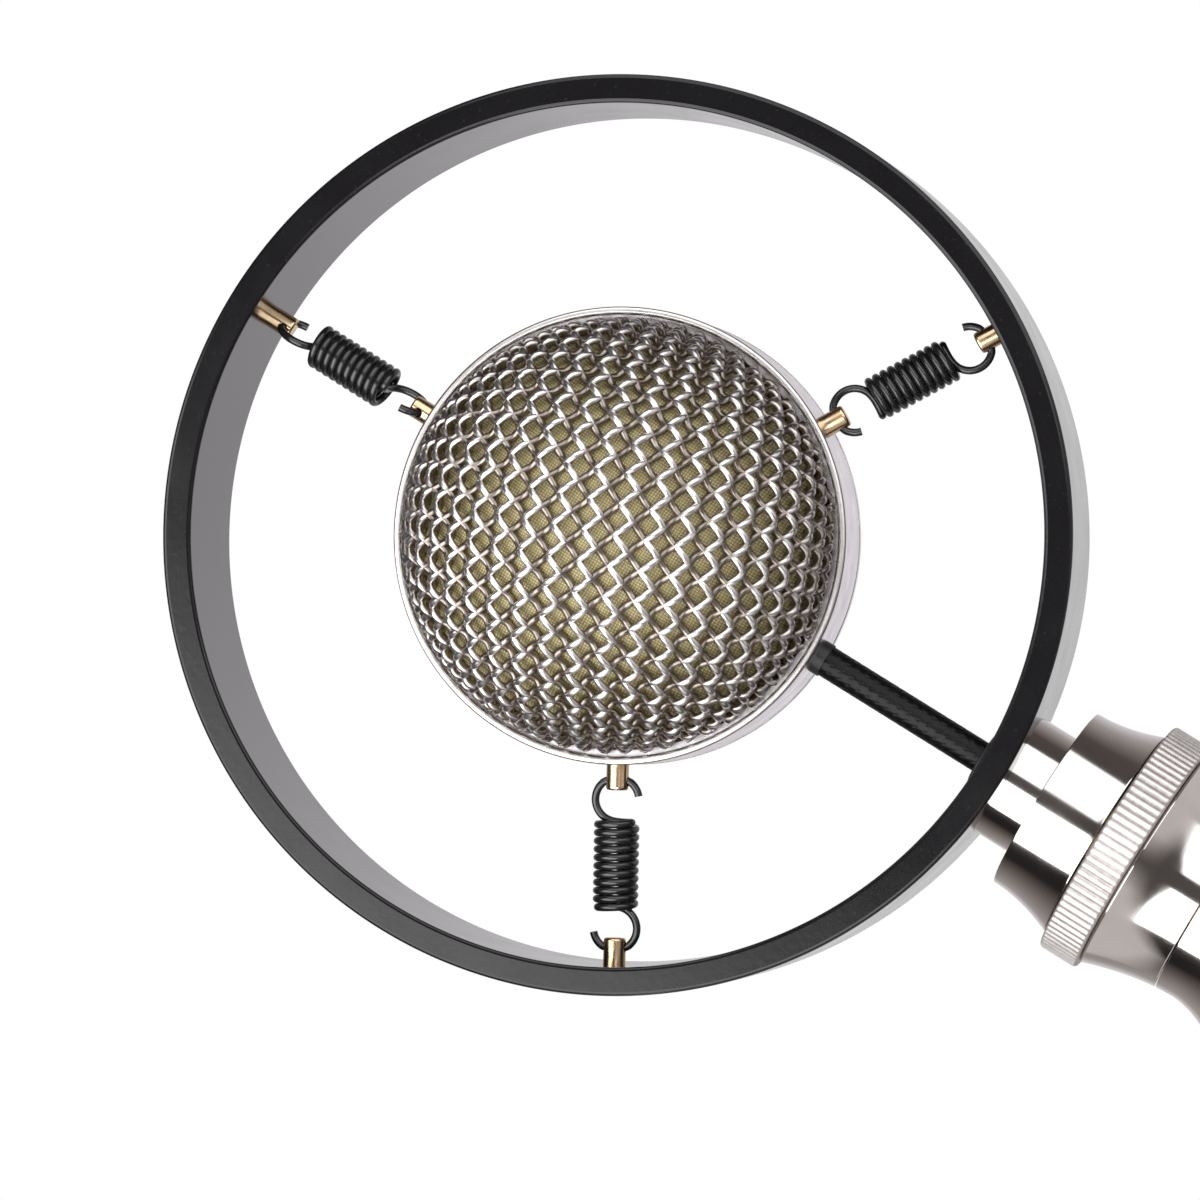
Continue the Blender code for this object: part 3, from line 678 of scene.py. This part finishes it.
def build_world():
    """White to the camera.

    Round the object: a dark studio in front, a white backdrop behind and a warm floor.
    """
    world = bpy.data.worlds.new("studio")
    bpy.context.scene.world = world
    world.use_nodes = True
    tree = world.node_tree
    tree.nodes.clear()

    def node(kind, inputs=(), **settings):
        made = tree.nodes.new(kind)
        for key, value in settings.items():
            setattr(made, key, value)
        for key, value in dict(inputs).items():
            if isinstance(value, bpy.types.NodeSocket):
                tree.links.new(value, made.inputs[key])
            else:
                made.inputs[key].default_value = value
        return made

    def ramp(value, stops):
        made = node("ShaderNodeValToRGB", {"Fac": value})
        stop_list = made.color_ramp.elements
        while len(stop_list) < len(stops):
            stop_list.new(0.5)
        for stop, (position, colour) in zip(stop_list, stops):
            stop.position = position
            stop.color = (*colour, 1)
        return made.outputs["Color"]

    direction = node("ShaderNodeTexCoord").outputs["Generated"]
    axes = node("ShaderNodeSeparateXYZ", {"Vector": direction})

    def maths(operation, *values):
        return node("ShaderNodeMath", dict(enumerate(values)), operation=operation).outputs[0]

    def half(value):
        return maths("MULTIPLY_ADD", value, 0.5, 0.5)

    left_side = ramp(half(axes.outputs["Y"]), [
        (0.0, (0.080, 0.072, 0.070)), (0.27, (0.050, 0.045, 0.044)), (0.37, (0.018, 0.016, 0.016)),
        (0.48, (0.020, 0.017, 0.016)), (0.605, (0.12, 0.105, 0.10)), (0.74, (0.24, 0.22, 0.21)),
        (0.895, (0.38, 0.36, 0.35)), (0.957, (0.65, 0.62, 0.65)),
        (0.989, (0.73, 0.70, 0.73)), (0.994, (0.93, 0.92, 0.93))])
    right_side = ramp(half(axes.outputs["Y"]), [
        (0.0, (0.080, 0.072, 0.070)), (0.335, (0.065, 0.058, 0.056)), (0.44, (0.080, 0.068, 0.065)),
        (0.56, (0.090, 0.075, 0.070)), (0.695, (0.22, 0.205, 0.20)), (0.845, (0.40, 0.38, 0.37)),
        (0.957, (0.65, 0.62, 0.65)), (0.989, (0.73, 0.70, 0.73)), (0.994, (0.93, 0.92, 0.93))])
    to_right = ramp(half(axes.outputs["X"]), [(0.45, (0, 0, 0)), (0.55, (1, 1, 1))])
    sides = node("ShaderNodeMix", data_type="RGBA")
    tree.links.new(to_right, sides.inputs["Factor"])
    tree.links.new(left_side, sides.inputs[6])
    tree.links.new(right_side, sides.inputs[7])
    round_it = sides.outputs[2]
    above = ramp(half(axes.outputs["Z"]), [(0.80, (0, 0, 0)), (0.95, (0.5, 0.5, 0.5))])
    in_front = maths("MULTIPLY", maths("MINIMUM", axes.outputs["Y"], 0.0), -0.46)
    behind = maths("MULTIPLY", maths("MAXIMUM", maths("SUBTRACT", axes.outputs["Y"], 0.6), 0.0), 1.5)
    below = maths("ADD", axes.outputs["Z"], maths("ADD", in_front, behind))
    floor_share = ramp(half(below), [(0.397, (1, 1, 1)), (0.46, (0, 0, 0))])
    floor_colour = ramp(maths("ABSOLUTE", axes.outputs["X"]), [
        (0.02, (0.10, 0.092, 0.09)), (0.13, (0.18, 0.165, 0.16)), (0.35, (0.42, 0.395, 0.385)),
        (0.46, (0.57, 0.54, 0.53)), (1.0, (0.58, 0.56, 0.55))])
    ceiling = node("ShaderNodeMix", {"Factor": above}, data_type="RGBA")
    tree.links.new(round_it, ceiling.inputs[6])
    ceiling.inputs[7].default_value = (0.02, 0.02, 0.02, 1)
    ground = node("ShaderNodeMix", {"Factor": floor_share}, data_type="RGBA")
    tree.links.new(ceiling.outputs[2], ground.inputs[6])
    tree.links.new(floor_colour, ground.inputs[7])
    around = node("ShaderNodeBackground", {"Color": ground.outputs[2], "Strength": 1.0})
    white = node("ShaderNodeBackground", {"Color": (1, 1, 1, 1), "Strength": 1.0})
    seen = node("ShaderNodeLightPath").outputs["Is Camera Ray"]
    mix = node("ShaderNodeMixShader", {0: seen, 1: around.outputs[0], 2: white.outputs[0]})
    output = node("ShaderNodeOutputWorld")
    tree.links.new(mix.outputs[0], output.inputs["Surface"])


def build_floor():
    """A pale floor under the stand mount's foot."""
    size = 4.0
    foot = cad_box[0].z
    corners = [(-size, -size, foot), (size, -size, foot), (size, size, foot), (-size, size, foot)]
    mesh = bpy.data.meshes.new("floor")
    mesh.from_pydata(corners, [], [(0, 1, 2, 3)])
    floor = linked("floor", mesh)
    surface = Surface("pale floor", (0.9, 0.9, 0.9), 0.8)
    patchy = surface.spread(surface.noise(40 * mm), 0, 1)
    surface.colour(surface.between(patchy, (0.88, 0.88, 0.88), (0.92, 0.92, 0.92)))
    mesh.materials.append(surface.material)
    floor.visible_glossy = False
    floor.visible_shadow = False


# ---------------------------------------------------------------- ring and neck


def build_ring():
    half = RING_WIDTH / 2
    outline = sleeve(RING_INNER, RING_R, -half, half, 0.45 * mm)
    ring = turned("ring", outline, 360)
    hole = turned("cable hole", bar(CABLE_R + 1.2 * mm, -54 * mm, -44 * mm), 48)
    hole.transform(FORWARD.inverted() @ UP)
    band = cut(ring, [hole])
    band.set_sharp_from_angle(angle=math.radians(RING_CREASE))
    place("ring_band", band, "black_steel", "ring_frame", ["ring"], FORWARD)

    inside = RING_INNER - 0.9 * mm
    bore = CABLE_BORE_R
    neck_r = bore + 1.1 * mm
    low = -RING_INNER - 2.8 * mm
    shoulder = -RING_INNER + 0.25 * mm
    grommet = rounded([(bore, low), (neck_r, low), (neck_r, shoulder), (bore + 1.6 * mm, shoulder),
                       (bore + 1.3 * mm, -inside), (bore, -inside)], 0.2 * mm)
    place("cable_grommet", turned("grommet", grommet, 64), "black_plastic", "ring_frame", ["ring_grommet"])


def build_neck():
    bore = 2.6 * mm
    saddle = RING_R - 0.02 * mm

    def on_ring(angle, radius, height):
        """Rows that stand at the ring's radius follow its outer wall."""
        if height > -ADAPTOR_TOP + 1 * mm:
            return radius, -math.sqrt(saddle ** 2 - (radius * math.cos(angle)) ** 2)
        return radius, height

    foot = -ADAPTOR_TOP - 0.1 * mm
    nipple = [(NIPPLE_R, foot), (NIPPLE_R, -saddle), (bore, -saddle), (bore, foot)]
    place("neck_nipple", turned("nipple", nipple, 128, on_ring), "nickel", "ring_frame", ["neck_nipple"])

    top_r = 10.9 * mm
    foot_r = 12.6 * mm
    flare = 1.9
    steps = 20
    recess_r = 6.3 * mm
    recess_top = -58.3 * mm
    outline = [(bore, -ADAPTOR_TOP, 0), (top_r, -ADAPTOR_TOP, 0.35 * mm)]
    for i in range(1, steps + 1):
        t = i / steps
        radius = top_r + (foot_r - top_r) * t ** flare
        height = -ADAPTOR_TOP - (ADAPTOR_END - ADAPTOR_TOP) * t
        outline.append((radius, height, 0.3 * mm if i == steps else 0))
    outline += [(recess_r, -ADAPTOR_END, 0), (recess_r, recess_top, 0), (bore, recess_top, 0)]
    adaptor = turned("adaptor", rounded(outline, 0), 160)
    place("neck_adaptor", adaptor, "nickel", "ring_frame", ["neck_adaptor"])


def build_lock_nut():
    """Straight-knurled lock nut."""
    teeth = 96
    land = NUT_R - 0.9 * mm    # the teeth run out here, on the nut's end faces

    def knurl(angle, radius, height):
        if radius < land:
            return radius, height
        depth = NUT_TOOTH * (1 + math.cos(angle * teeth))
        return radius - depth * (radius - land) / (NUT_R - land), height

    bore = 6.4 * mm
    edge = 0.25 * mm
    outline = rounded([(bore, -NUT_END, 0), (NUT_R - edge, -NUT_END), (NUT_R, -NUT_END + edge),
                       (NUT_R, -NUT_TOP - edge), (NUT_R - edge, -NUT_TOP), (bore, -NUT_TOP, 0)],
                      0.12 * mm, 3)
    place("knurled_lock_nut", turned("nut", outline, teeth * 10, knurl), "nickel", "nut", ["lock_nut"],
          material=KNURL)


# ---------------------------------------------------------------- head


def wire_height(u, row):
    """Height of a woven wire above the middle of the weave, at a distance u along it."""
    return MESH_WIRE_R * (-1) ** row * math.cos(math.pi * (u / MESH_PITCH - 0.5))


def dome_point(x, y, height):
    """A point of the flat weave wrapped onto the dome, distances from its top kept."""
    reach = math.hypot(x, y)
    polar = reach / MESH_R
    radius = MESH_R + height
    if reach == 0:
        return Vector((0, 0, radius))
    share = radius * math.sin(polar) / reach
    return Vector((share * x, share * y, radius * math.cos(polar)))


def woven_dome():
    """Points and faces of two families of wires, over and under each other, out to the dome's rim."""
    edge = MESH_R * math.pi / 2
    rows = int(edge / MESH_PITCH)
    step = MESH_PITCH / 5
    turn = math.radians(MESH_TURN)
    parts = []
    for family in (0, 1):
        angle = turn + family * math.pi / 2
        ahead = Vector((math.cos(angle), math.sin(angle)))
        beside = Vector((-ahead.y, ahead.x))
        for row in range(-rows, rows + 1):
            offset = row * MESH_PITCH
            reach = math.sqrt(edge ** 2 - offset ** 2)
            count = max(2, round(2 * reach / step))
            path = []
            for i in range(count + 1):
                u = -reach + 2 * reach * i / count
                flat = ahead * u + beside * offset
                sign = row + family
                path.append(dome_point(flat.x, flat.y, wire_height(u, sign)))
            parts.append(along(path, MESH_WIRE_R, 8))
    return parts


def quarter(radius):
    """A quarter circle from the rim of a dome to its top."""
    rows = 40
    angles = [math.pi / 2 * i / rows for i in range(rows)]
    return [(radius * math.cos(a), radius * math.sin(a)) for a in angles] + [(0, radius)]


def build_dome(side, edge, facing):
    """Woven grille and the fine screen behind it, on the front or the rear of the head."""
    base = edge - facing * GRILLE_SEAT
    where = FORWARD @ Matrix.Translation((0, 0, base))
    if facing < 0:
        where = where @ Matrix.Rotation(math.pi, 4, "Y")
    grille = joined(side + " grille", woven_dome())
    place(side + "_woven_grille", grille, "woven_steel", "floating_head", [side + "_grille"], where)
    wall = 0.3 * mm
    skin = turned(side + " screen", quarter(SCREEN_R) + quarter(SCREEN_R - wall)[::-1], 96)
    place(side + "_fine_screen", skin, "fine_brass", "floating_head", [side + "_screen"], where)


def build_bezel(side, edge, facing):
    """Rounded bright rim that clamps the grille to the band."""
    inside = edge - facing * BEZEL_DEPTH
    bore = HEAD_R - BEZEL_WALL
    outline = rounded([(HEAD_R, inside, 0.12 * mm), (HEAD_R, edge, 0.6 * mm), (bore, edge, 0.35 * mm),
                       (bore, inside, 0)], 0, 6)
    rim = turned(side + " rim", outline, 256)
    place(side + "_rim", rim, "band_metal", "floating_head", [side + "_bezel"], FORWARD, RIM)


def build_head_shell():
    for side, edge, facing in (("front", HEAD_FRONT, 1), ("rear", HEAD_BACK, -1)):
        build_bezel(side, edge, facing)
        build_dome(side, edge, facing)
    low = HEAD_BACK + BEZEL_DEPTH + CLEAR
    high = HEAD_FRONT - BEZEL_DEPTH - CLEAR
    band = turned("band", sleeve(23.6 * mm, HEAD_R - 0.05 * mm, low, high, 0.15 * mm), 256)
    place("head_band_skin", band, "band_metal", "floating_head", ["head_band"], FORWARD)

    gland = sleeve(CABLE_BORE_R, CABLE_R + 0.16 * mm, -HEAD_R - 1.0 * mm, -22.8 * mm, 0.06 * mm)
    place("cable_collar", turned("collar", gland, 64), "black_plastic", "floating_head", ["cable_gland"])


# ---------------------------------------------------------------- springs and cable


def hook():
    """Hook path from its open end to the coil: x across, z from the pin's hole towards the coil."""
    chord = 1.3 * mm
    centre = math.sqrt(HOOK_R ** 2 - chord ** 2)
    bend = math.asin(chord / HOOK_R)
    path = []
    for low, high, steps in ((math.radians(80), bend, 12), (-bend, math.radians(-156), 26)):
        for i in range(steps + 1):
            angle = low + (high - low) * i / steps
            path.append((HOOK_R * math.sin(angle), 0, centre - HOOK_R * math.cos(angle)))
    return path


def smooth_join(first, second, count):
    """Points of a curve from the end of one path to the start of another, keeping both directions."""
    start, end = Vector(first[-1]), Vector(second[0])
    reach = (end - start).length * 1.1
    leave = (start - Vector(first[-2])).normalized() * reach
    arrive = (Vector(second[1]) - end).normalized() * reach
    made = []
    for i in range(1, count):
        t = i / count
        a = 2 * t ** 3 - 3 * t ** 2 + 1
        b = t ** 3 - 2 * t ** 2 + t
        c = -2 * t ** 3 + 3 * t ** 2
        d = t ** 3 - t ** 2
        made.append(tuple(a * start + b * leave + c * end + d * arrive))
    return made


def spring_path():
    """One wire: hook, close-wound coil and a second hook, turned half round to the other side."""
    coil = COIL_TURNS * COIL_PITCH
    low = (SPRING_LENGTH - coil) / 2
    start = math.radians(36)
    steps = round(COIL_TURNS * 28)
    turns = []
    for i in range(steps + 1):
        t = i / steps
        angle = start + 2 * math.pi * COIL_TURNS * t
        turns.append((COIL_R * math.cos(angle), COIL_R * math.sin(angle), low + coil * t))
    first = hook()
    last = [(-x, y, SPRING_LENGTH - z) for x, y, z in first][::-1]
    path = first + smooth_join(first, turns, 8) + turns + smooth_join(turns, last, 8) + last
    return [Vector(p) for p in path]


def pierced_pin(name, low, high, hole_at, twist):
    """A brass pin with rounded ends, drilled across at a height."""
    pin = turned(name, bar(PIN_R, low, high, 0.35 * mm), 48)
    drill = turned("drill", rod(PIN_HOLE_R, -2 * mm, 2 * mm), 32)
    sideways = Matrix.Rotation(math.radians(twist), 4, "Z") @ Matrix.Rotation(math.pi / 2, 4, "Y")
    drill.transform(Matrix.Translation((0, 0, hole_at)) @ sideways)
    return cut(pin, [drill])


def slotted_head(name, radius, under, proud, shank_r, shank):
    """A slotted screw head: local +Z runs into the work, the head stands proud below under."""
    top = under - proud
    outline = rounded([(0, under + shank), (shank_r, under + shank), (shank_r, under, 0), (radius, under, 0),
                       (radius, under - proud * 0.5), (radius * 0.8, top), (0, top)], 0.12 * mm)
    half_slot = 0.25 * mm
    deep = proud * 0.6
    slot = block("slot", (-1.5 * radius, -half_slot, top - deep), (1.5 * radius, half_slot, top + deep))
    return cut(turned(name, outline, 48), [slot])


def build_suspension(spot, angle, twist):
    """One spring with its two pins and the grub screw that holds its outer pin in the ring."""
    where = radial(angle, RING_INNER - RING_PIN_HOLE)
    lean = Matrix.Rotation(-math.atan2(HEAD_PINS, SPRING_RUN), 4, "X")
    turned_round = where @ lean @ Matrix.Rotation(math.radians(twist), 4, "Z")
    wire = joined("spring " + spot, [along(spring_path(), SPRING_WIRE_R, 12)])
    spring = place("spring_wire_" + spot, wire, "spring_steel", None, (), turned_round)
    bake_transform(spring)
    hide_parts("spring_" + spot)

    base = -RING_PIN_HOLE - 1.7 * mm
    pin = pierced_pin("ring pin", base, PIN_TIP, 0, twist)
    place("ring_pin_" + spot, pin, "brass", "ring_frame", ["ring_pin_" + spot], where)
    pin = pierced_pin("head pin", -PIN_TIP, HEAD_PIN_HOLE + 1.2 * mm, 0, twist)
    place("head_pin_" + spot, pin, "brass", "floating_head", ["head_pin_" + spot],
          where @ Matrix.Translation((0, HEAD_PINS, SPRING_RUN)))

    far = -RING_PIN_HOLE - RING_WALL + 0.25 * mm
    near = base - 0.1 * mm
    recess = far + 0.5 * mm
    outline = rounded([(0, near, 0), (PIN_R, near, 0), (PIN_R, far), (0.6 * mm, far, 0),
                       (0.55 * mm, recess, 0), (0, recess, 0)], 0.12 * mm)
    screw = turned("grub screw", outline, 48)
    place("grub_screw_" + spot, screw, "black_steel", "ring_frame", ["pin_screw_" + spot], where)


def braided(angle, radius, height):
    """A braided sleeve's surface: flat strands wound both ways, each over the next and then under it."""
    if radius < CABLE_R:
        return radius, height
    carriers = 12
    lay = 15 * mm
    depth = 0.07 * mm
    one = carriers * (angle / (2 * math.pi) + height / lay)
    other = carriers * (angle / (2 * math.pi) - height / lay)
    over = (math.floor(one) + math.floor(other)) % 2
    across = (one if over else other) % 1
    return radius - depth * abs(2 * across - 1) ** 4, height


def build_cable():
    """Braided signal cable from the head, straight down through the ring and the neck."""
    top, end, foot = -21.0 * mm, -56.0 * mm, -99.6 * mm
    core_r = CABLE_R - 0.3 * mm
    rows = 180
    outline = [(0, top), (core_r, top)]
    outline += [(CABLE_R, top + (end - top) * (i + 0.5) / rows) for i in range(rows)]
    outline += [(core_r, end), (core_r, foot), (0, foot)]
    cable = place("signal_cable_sleeve", turned("cable", outline, 120, braided), "cable_braid", None)
    end = UP @ Vector((0, 0, -HEAD_R - 1.4 * mm))
    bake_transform(cable)
    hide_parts("signal_cable")


# ---------------------------------------------------------------- body


def build_bells():
    bore = 6.3 * mm
    shoulder = 2.1 * mm
    steps = 24
    flare = 1.75
    land = 0.2 * mm
    outline = [(bore, -BELL_TOP + land, 0), (WAIST_R + shoulder - land, -BELL_TOP + land, 0)]
    for i in range(steps + 1):
        s = BELL_TOP + (SEAM - BELL_TOP) * i / steps
        up = (WAIST - s) / (WAIST - BELL_TOP)
        outline.append((WAIST_R + shoulder * up ** flare, -s, 0.12 * mm if i in (0, steps) else 0))
    outline.append((bore, -SEAM, 0))
    bell = turned("neck bell", rounded(outline, 0), 160)
    place("neck_bell_skin", bell, "nickel", "mic_body", ["neck_bell"])

    wall = 2.0 * mm
    spigot_r = TUBE_R - TUBE_WALL - 0.3 * mm
    spigot_end = -100 * mm
    top = SEAM + CLEAR
    steps = 40
    outline = [(WAIST_R - wall, -top, 0), (WAIST_R + 0.12 * mm, -top, 0.12 * mm)]
    for i in range(steps + 1):
        t = i / steps
        rise = t * t * (3 - 2 * t)
        outline.append((WAIST_R + (TUBE_R - WAIST_R) * rise, -(WAIST + (TUBE_TOP - WAIST) * t), 0))
    outline += [(spigot_r, -TUBE_TOP, 0), (spigot_r, spigot_end, 0.3 * mm),
                (spigot_r - wall, spigot_end, 0.3 * mm), (spigot_r - wall, -94 * mm, 0),
                (WAIST_R - wall, -82 * mm, 0)]
    bell = turned("body bell", rounded(outline, 0), 160)
    place("body_bell_skin", bell, "nickel", "mic_body", ["body_bell"])


def build_tube():
    bore = TUBE_R - TUBE_WALL
    screw_height = -156.5 * mm
    tube = turned("tube", sleeve(bore, TUBE_R, -TUBE_END, -TUBE_TOP - CLEAR, 0.25 * mm), 192)
    forward = Matrix.Translation((0, 0, screw_height)) @ Matrix.Rotation(math.pi / 2, 4, "X")
    hole = moved(turned("hole", bar(1.75 * mm, 14 * mm, 20 * mm, 0.01 * mm), 48), forward)
    place("body_tube_skin", cut(tube, [hole]), "nickel", "mic_body", ["body_tube"])

    chamfer = 1.2 * mm
    spigot_r = bore - 0.3 * mm
    spigot_top = -152.6 * mm
    socket_r = 9.8 * mm
    top = -TUBE_END - 0.15 * mm
    outline = [(spigot_r, spigot_top, 0.3 * mm), (socket_r, spigot_top, 0.3 * mm),
               (socket_r, -CAP_END, 0.3 * mm), (TUBE_R - chamfer, -CAP_END, 0.5 * mm),
               (TUBE_R, chamfer - CAP_END, 0.5 * mm), (TUBE_R, top, 0.2 * mm), (spigot_r, top, 0)]
    groove_at = TUBE_END + 3 * mm
    groove = sleeve(TUBE_R - 0.4 * mm, TUBE_R + 1 * mm, -groove_at - 0.6 * mm, -groove_at)
    cap = cut(turned("cap", rounded(outline, 0), 192), [turned("groove", groove, 192)])
    place("bottom_cap_skin", cap, "nickel", "mic_body", ["bottom_cap"])

    proud = 1.1 * mm
    seat = TUBE_R - 0.3 * mm - proud
    screw = slotted_head("cap screw", 1.6 * mm, 0, proud, 1.0 * mm, 3.8 * mm)
    screw.transform(forward @ Matrix.Translation((0, 0, seat)) @ Matrix.Rotation(math.pi, 4, "X"))
    place("cap_screw_head", screw, "grey_can", "mic_body", ["cap_screw"])


def build_output_socket():
    """Three-pin male socket in the foot of the body."""
    shell = turned("socket shell", sleeve(8.2 * mm, 9.6 * mm, -CAP_END + 0.2 * mm, -155 * mm, 0.3 * mm), 96)
    key = block("key", (-1.1 * mm, -9.4 * mm, -CAP_END - 4 * mm), (1.1 * mm, -7.0 * mm, -CAP_END + 4 * mm))
    place("socket_shell", cut(shell, [key]), "grey_can", "mic_body", ["xlr_shell"])

    insert = turned("insert", bar(8.15 * mm, -162.5 * mm, -156 * mm, 0.4 * mm), 96)
    place("socket_insert", insert, "black_plastic", "mic_body", ["xlr_insert"])
    pin_circle = 4.1 * mm
    for number, angle in (("1", 210), ("2", -30), ("3", 90)):
        turn = math.radians(angle)
        where = UP @ Matrix.Translation((pin_circle * math.cos(turn), pin_circle * math.sin(turn), 0))
        pin = turned("pin", bar(1.2 * mm, -175.5 * mm, -154 * mm, 0.9 * mm), 40)
        place("socket_pin_" + number, pin, "brass", "mic_body", ["xlr_pin_" + number], where)


# ---------------------------------------------------------------- stand mount


def arc(radius, start, end, steps, centre=(0, 0)):
    """Points of a circular arc, in degrees."""
    angles = [math.radians(start + (end - start) * i / steps) for i in range(steps + 1)]
    return [(centre[0] + radius * math.cos(a), centre[1] + radius * math.sin(a)) for a in angles]


def build_lug():
    """Tilt lug on the back of the body."""
    end_r = 9 * mm
    outline = arc(end_r, -115, 60, 40)
    outline += [(-11 * mm, 36 * mm), (-12.5 * mm, 38 * mm), (-20 * mm, 38 * mm), (-20 * mm, 0)]
    lug = slab("lug", outline, -LUG_HALF, LUG_HALF)
    lug.transform(Matrix.Translation(PIVOT))
    seat = moved(turned("seat", rod(TUBE_R, -190 * mm, -120 * mm), 192), UP)
    bore = moved(turned("bore", rod(BOLT_HOLE_R, -9 * mm, 9 * mm), 64), ACROSS)
    lug = softened(cut(lug, [seat, bore]), 0.6 * mm)
    place("tilt_lug_body", lug, "nickel", "mic_body", ["tilt_lug"], STAND)


def build_fork():
    cheek_in = 6.6 * mm
    cheek_out = 11.6 * mm
    eye_r = 10 * mm
    foot = cad_box[0].z
    top = 12 * mm
    socket = turned("socket", bar(SOCKET_R, foot, top, 0.02 * mm), 128)
    outline = [(-eye_r, top - 4 * mm), (eye_r, top - 4 * mm)] + arc(eye_r, 0, 180, 48, (0, PIVOT.z))
    cheeks = slab("cheeks", outline, -cheek_out, cheek_out)
    round_bar = turned("round bar", rod(SOCKET_R - 0.4 * mm, foot, 60 * mm), 128)
    fork = cut(socket, [cut(cheeks, [round_bar], "INTERSECT")], "UNION")
    floor = PIVOT.z - 11 * mm
    slot = block("slot", (-cheek_in, -20 * mm, floor), (cheek_in, 20 * mm, floor + 40 * mm))
    bore_r = 9.5 * mm
    seat_r = 6.5 * mm
    seat = 0.8 * mm
    below = foot - 2 * mm
    bore = turned("bore", [(0, 0), (seat_r, 0), (seat_r, seat), (bore_r, seat), (bore_r, below),
                           (0, below)], 96)
    eye = moved(turned("eye", rod(3.2 * mm, -20 * mm, 20 * mm), 64), ACROSS)
    fork = softened(cut(fork, [slot, bore, eye]), 0.18 * mm)
    place("stand_fork_body", fork, "nickel", "stand_mount", ["stand_fork"], STAND)


def build_thread_bush():
    """Brass bush with the stand's thread cut in its bore."""
    foot = cad_box[0].z + 0.2 * mm
    top = -0.3 * mm
    outer = 9.45 * mm
    depth = 0.5 * mm
    rows_per_turn = 8
    rows = round((top - foot) / THREAD_PITCH * rows_per_turn)

    def thread(angle, radius, height):
        if radius > THREAD_R + 0.01 * mm:
            return radius, height
        turn = height / THREAD_PITCH - angle / (2 * math.pi)
        crest = abs((turn % 1) - 0.5) * 2
        return THREAD_R + depth * (1 - crest), height

    mouth_r = THREAD_R + 0.6 * mm
    chamfer = 0.3 * mm
    outline = [(outer, foot + chamfer), (outer, top), (mouth_r, top)]
    outline += [(THREAD_R, top - (top - foot) * (i + 0.5) / rows) for i in range(rows)]
    outline += [(mouth_r, foot), (outer - chamfer, foot)]
    bush = turned("bush", outline, 96, thread)
    place("threaded_bush", bush, "brass", "stand_mount", ["thread_bush"], STAND)


def build_tilt_bolt():
    """Hexagon-socket bolt through fork, lug and washers."""
    head_r = 5.5 * mm
    shank_r = 3.0 * mm
    top = -15.6 * mm
    under = -11.65 * mm
    end = 18 * mm
    outline = [(0, top, 0), (head_r, top, 0.6 * mm), (head_r, under, 0.2 * mm), (shank_r, under, 0),
               (shank_r, end, 0.3 * mm), (0, end, 0)]
    socket = turned("hexagon", rod(2.9 * mm, -17 * mm, -13.2 * mm), 6)
    bolt = cut(turned("bolt", rounded(outline, 0), 96), [socket])
    place("tilt_bolt_body", bolt, "grey_can", "stand_mount", ["tilt_bolt"], ACROSS)
    thick = 1.56 * mm
    for side, low in (("right", 5.02 * mm), ("left", -6.58 * mm)):
        washer = turned("washer", sleeve(3.2 * mm, 8 * mm, low, low + thick, 0.15 * mm), 96)
        name = "friction_washer_" + side
        place(name, washer, "washer_fibre", "stand_mount", [name], ACROSS)


def build_knob():
    """Lobed clamping knob."""
    lobes = 6

    def lobed(angle, radius, height):
        grip = max(0.0, min(1.0, (radius - 6.5 * mm) / (2.5 * mm)))
        return radius * (1 + 0.09 * grip * math.cos(lobes * angle)), height

    foot = 11.75 * mm
    bore_end = 19.5 * mm
    face = 22.4 * mm
    dish = 21.9 * mm
    outline = rounded([(0, bore_end, 0), (BOLT_HOLE_R, bore_end, 0), (BOLT_HOLE_R, foot, 0),
                       (6 * mm, foot, 0.3 * mm), (6.2 * mm, 14.2 * mm, 0.5 * mm),
                       (9.8 * mm, 14.7 * mm, 1.2 * mm), (10.0 * mm, face, 1.6 * mm),
                       (7.0 * mm, face, 0.3 * mm), (6.6 * mm, dish, 0.3 * mm), (0, dish, 0)], 0, 6)
    knob = turned("knob", outline, 192, lobed)
    place("clamping_knob", knob, "black_plastic", "knob", ["tilt_knob"], ACROSS)


# ---------------------------------------------------------------- inner pieces


def dress_cad_nodes():
    """Pieces inside the body and the capsule keep their CAD shape and take the slot's finish."""
    for entry in frame["record"]["subparts"]:
        node = frame["nodes"][entry["node"]]
        node.data.materials.clear()
        node.data.materials.append(SLOTS[entry["material_slot"]])


bpy.context.scene.view_settings.view_transform = "Standard"
build_camera()
build_world()
build_lights()
build_floor()
dress_cad_nodes()
build_ring()
build_neck()
build_lock_nut()
build_head_shell()
for spot, (angle, twist) in SPRING_PLACES.items():
    build_suspension(spot, angle, twist)
build_cable()
build_bells()
build_tube()
build_output_socket()
build_lug()
build_fork()
build_thread_bush()
build_tilt_bolt()
build_knob()
